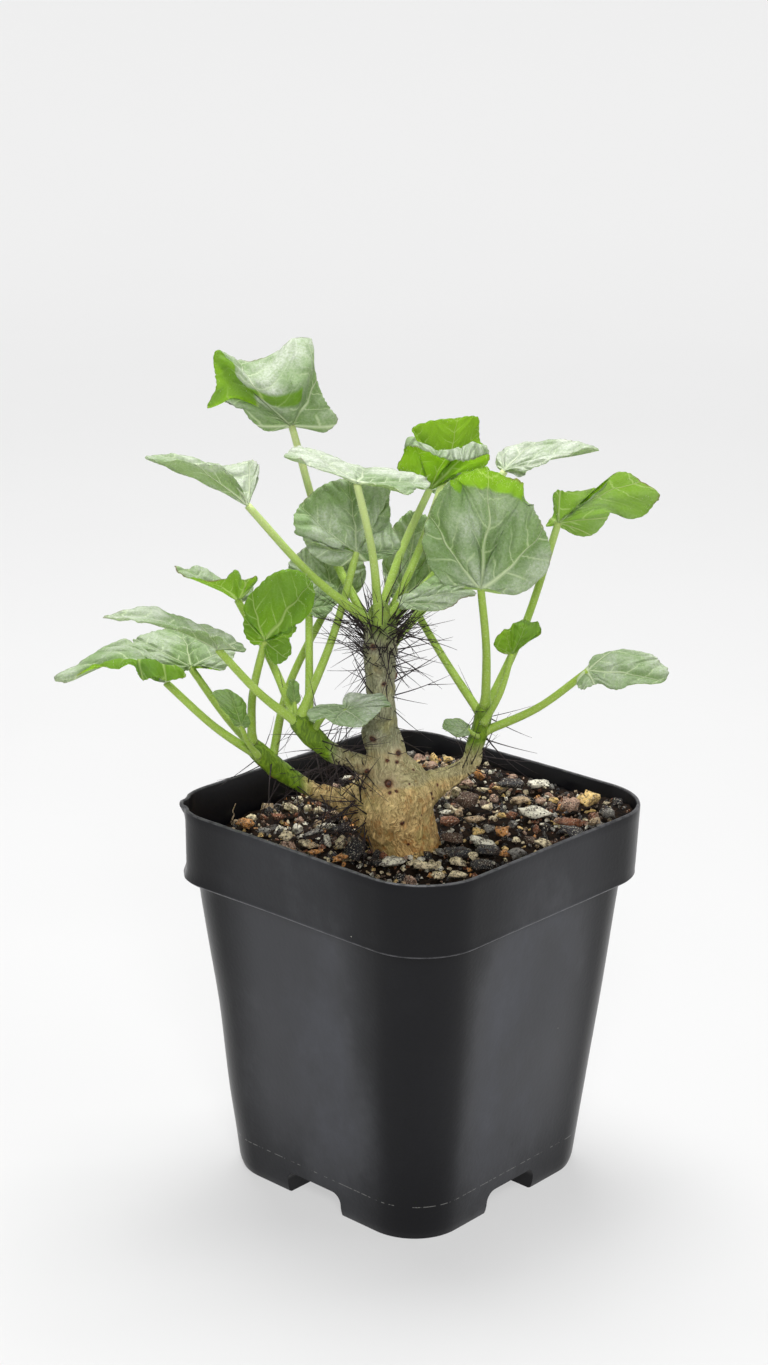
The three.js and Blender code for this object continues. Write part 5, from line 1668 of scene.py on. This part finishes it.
share = larger(inside, fade(felt, 0.1, 0.7, 0.45, 0.10))
both = step("ShaderNodeMixShader", {0: share, 1: shader.outputs[0], 2: through.outputs[0]})
feed(tree.nodes["Material Output"], {"Surface": both.outputs[0]})
print("blade finish:", len(tree.nodes), "nodes")

# %% Stalks
stalk_finish, tree, shader = finish("leaf_stalk")
place = object_place()
shade = tint(cloud(place, 160, 3), (0.20, 0.33, 0.025), (0.36, 0.50, 0.08))
shade = tint(fade(height_of(place), 0.168, 0.205, 0.0, 0.6), shade, (0.62, 0.68, 0.36))
down = cloud(place, 2200, 3, 0.7)
shade = tint(fade(down, 0.45, 0.75, 0.0, 0.25), shade, (0.74, 0.80, 0.50))
feed(shader, {"Base Color": shade, "Roughness": 0.5, "Subsurface Weight": 0.25,
              "Subsurface Radius": (0.0012, 0.0016, 0.0003), "Subsurface Scale": 1.0, "Sheen Weight": 0.1,
              "Specular IOR Level": 0.3, "Normal": bump(down, 0.3, 0.0003)})

# %% Build every leaf
HALF_THICK, STALK_FELT, PAINTED_LIGHT_FELT = 0.27, 0.3, 0.12


def felt_with_painted_light(leaf, shares, sectors):
    """1 where the felt of a blade is whole, and a small share in its windows of painted light, for each point
    """
    margin = seen_margins.get(leaf["name"], {"edge": "_"})
    steps = len(margin["edge"])
    at = [0.0] + [(k % sectors + 0.5) / sectors * steps - 0.5 for k in range(len(shares) - 1)]
    # Painted glow and shade: the felt is thinned in these windows, so backlit parts glow and the shade under
    # folds shows.
    windows = margin.get("painted_light_windows", [])
    return [PAINTED_LIGHT_FELT if any(w[0] < a < w[1] and w[2] < s < w[3] for w in windows) else 1.0
            for a, s in zip(at, shares)]


def build_leaf(leaf, seed):
    """One closed blade and its stalk as one object with two finishes, and where down grows on it"""
    sheet, out, faces, flat, shares, sectors = leaf_sheet(leaf, seed)
    count, size = len(sheet), leaf["length"]
    half = [HALF_THICK * (1 - 0.55 * s ** 8) * min(1, size / 14) for s in shares]
    points = [p + n * h * way for way in (1, -1) for p, n, h in zip(sheet, out, half)]
    blade_faces = faces + [tuple(i + count for i in reversed(f)) for f in faces]
    first = count - sectors
    for j in range(sectors):
        a, b = first + j, first + (j + 1) % sectors
        blade_faces.append((b, a, a + count, b + count))
    stalk_points, stalk_faces = leaf_stalk(leaf)
    rest = len(stalk_points)
    all_faces = blade_faces + [tuple(i + 2 * count for i in f) for f in stalk_faces]
    places = [held_in_box(from_view(p)) for p in points + stalk_points]
    made = mesh_object(leaf["name"] + "_dressed", places, all_faces)
    mesh = made.data
    mesh.materials.append(blade_finish)
    mesh.materials.append(stalk_finish)
    mesh.polygons.foreach_set("material_index", [0] * len(blade_faces) + [1] * len(stalk_faces))
    store(mesh, "upper", [1.0] * count + [0.0] * (count + rest))
    store(mesh, "rim", shares + shares + [0.0] * rest)
    thick = felt_with_painted_light(leaf, shares, sectors)
    felt = [side * t for side in (leaf.get("felt", 0.66), leaf.get("under", 0.2)) for t in thick]
    store(mesh, "felt", felt + [STALK_FELT] * rest)
    spots = [(u / size, v / size) for u, v in flat] * 2 + [(0.0, 0.0)] * rest
    layer = mesh.uv_layers.new(name="blade")
    layer.data.foreach_set("uv", [c for loop in mesh.loops for c in spots[loop.vertex_index]])
    return made, [0.9 if s > 0.93 else 0.1 for s in shares] * 2 + [0.35] * rest


hair_points, hair_faces, hair_grow = [], [], []
for k, leaf in enumerate(leaves):
    piece, down = build_leaf(leaf, k * 3.7)
    hair_faces += [tuple(i + len(hair_points) for i in p.vertices) for p in piece.data.polygons]
    hair_points += [v.co.copy() for v in piece.data.vertices]
    hair_grow += down
    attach(piece, "root")
    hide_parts(leaf["name"])
print("leaf faces:", len(hair_faces))

# %% [markdown]
# ## Down on the leaves
# Short white hairs stand on the margins and stalks and soften the edges against the light. They are thin
# three-sided cones, planted by the same scatter tree on a copy of all leaf surfaces, which is then thrown
# away.

# %% Plant the down
down_finish, tree, shader = finish("white_down")
shade = tint(cloud(object_place(), 400, 2), (0.60, 0.66, 0.46), (0.85, 0.88, 0.76))
feed(shader, {"Base Color": shade, "Roughness": 0.6})


def hair(name, seed):
    """A bent hair of unit length along +Z"""
    dice = random.Random(seed)
    sway = Vector((dice.uniform(-0.3, 0.3), dice.uniform(-0.3, 0.3), 0))
    line = [Vector((0, 0, t)) + sway * t ** 2 for t in (0, 0.5, 1)]
    return gather(name, [tube(line, lambda s: 0.045 * (1.02 - s), 3)])


down_bed = mesh_object("down_bed", hair_points, hair_faces)
store(down_bed.data, "grow", hair_grow)
shapes = [hair(f"hair_{k}", 90 + k) for k in range(3)]
down = scattered("leaf_down", down_bed, shapes, down_finish, 0.32, 1.6, (0.35 * MM, 0.8 * MM), 0.7, 8)
bpy.data.objects.remove(down_bed)
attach(down, "root")
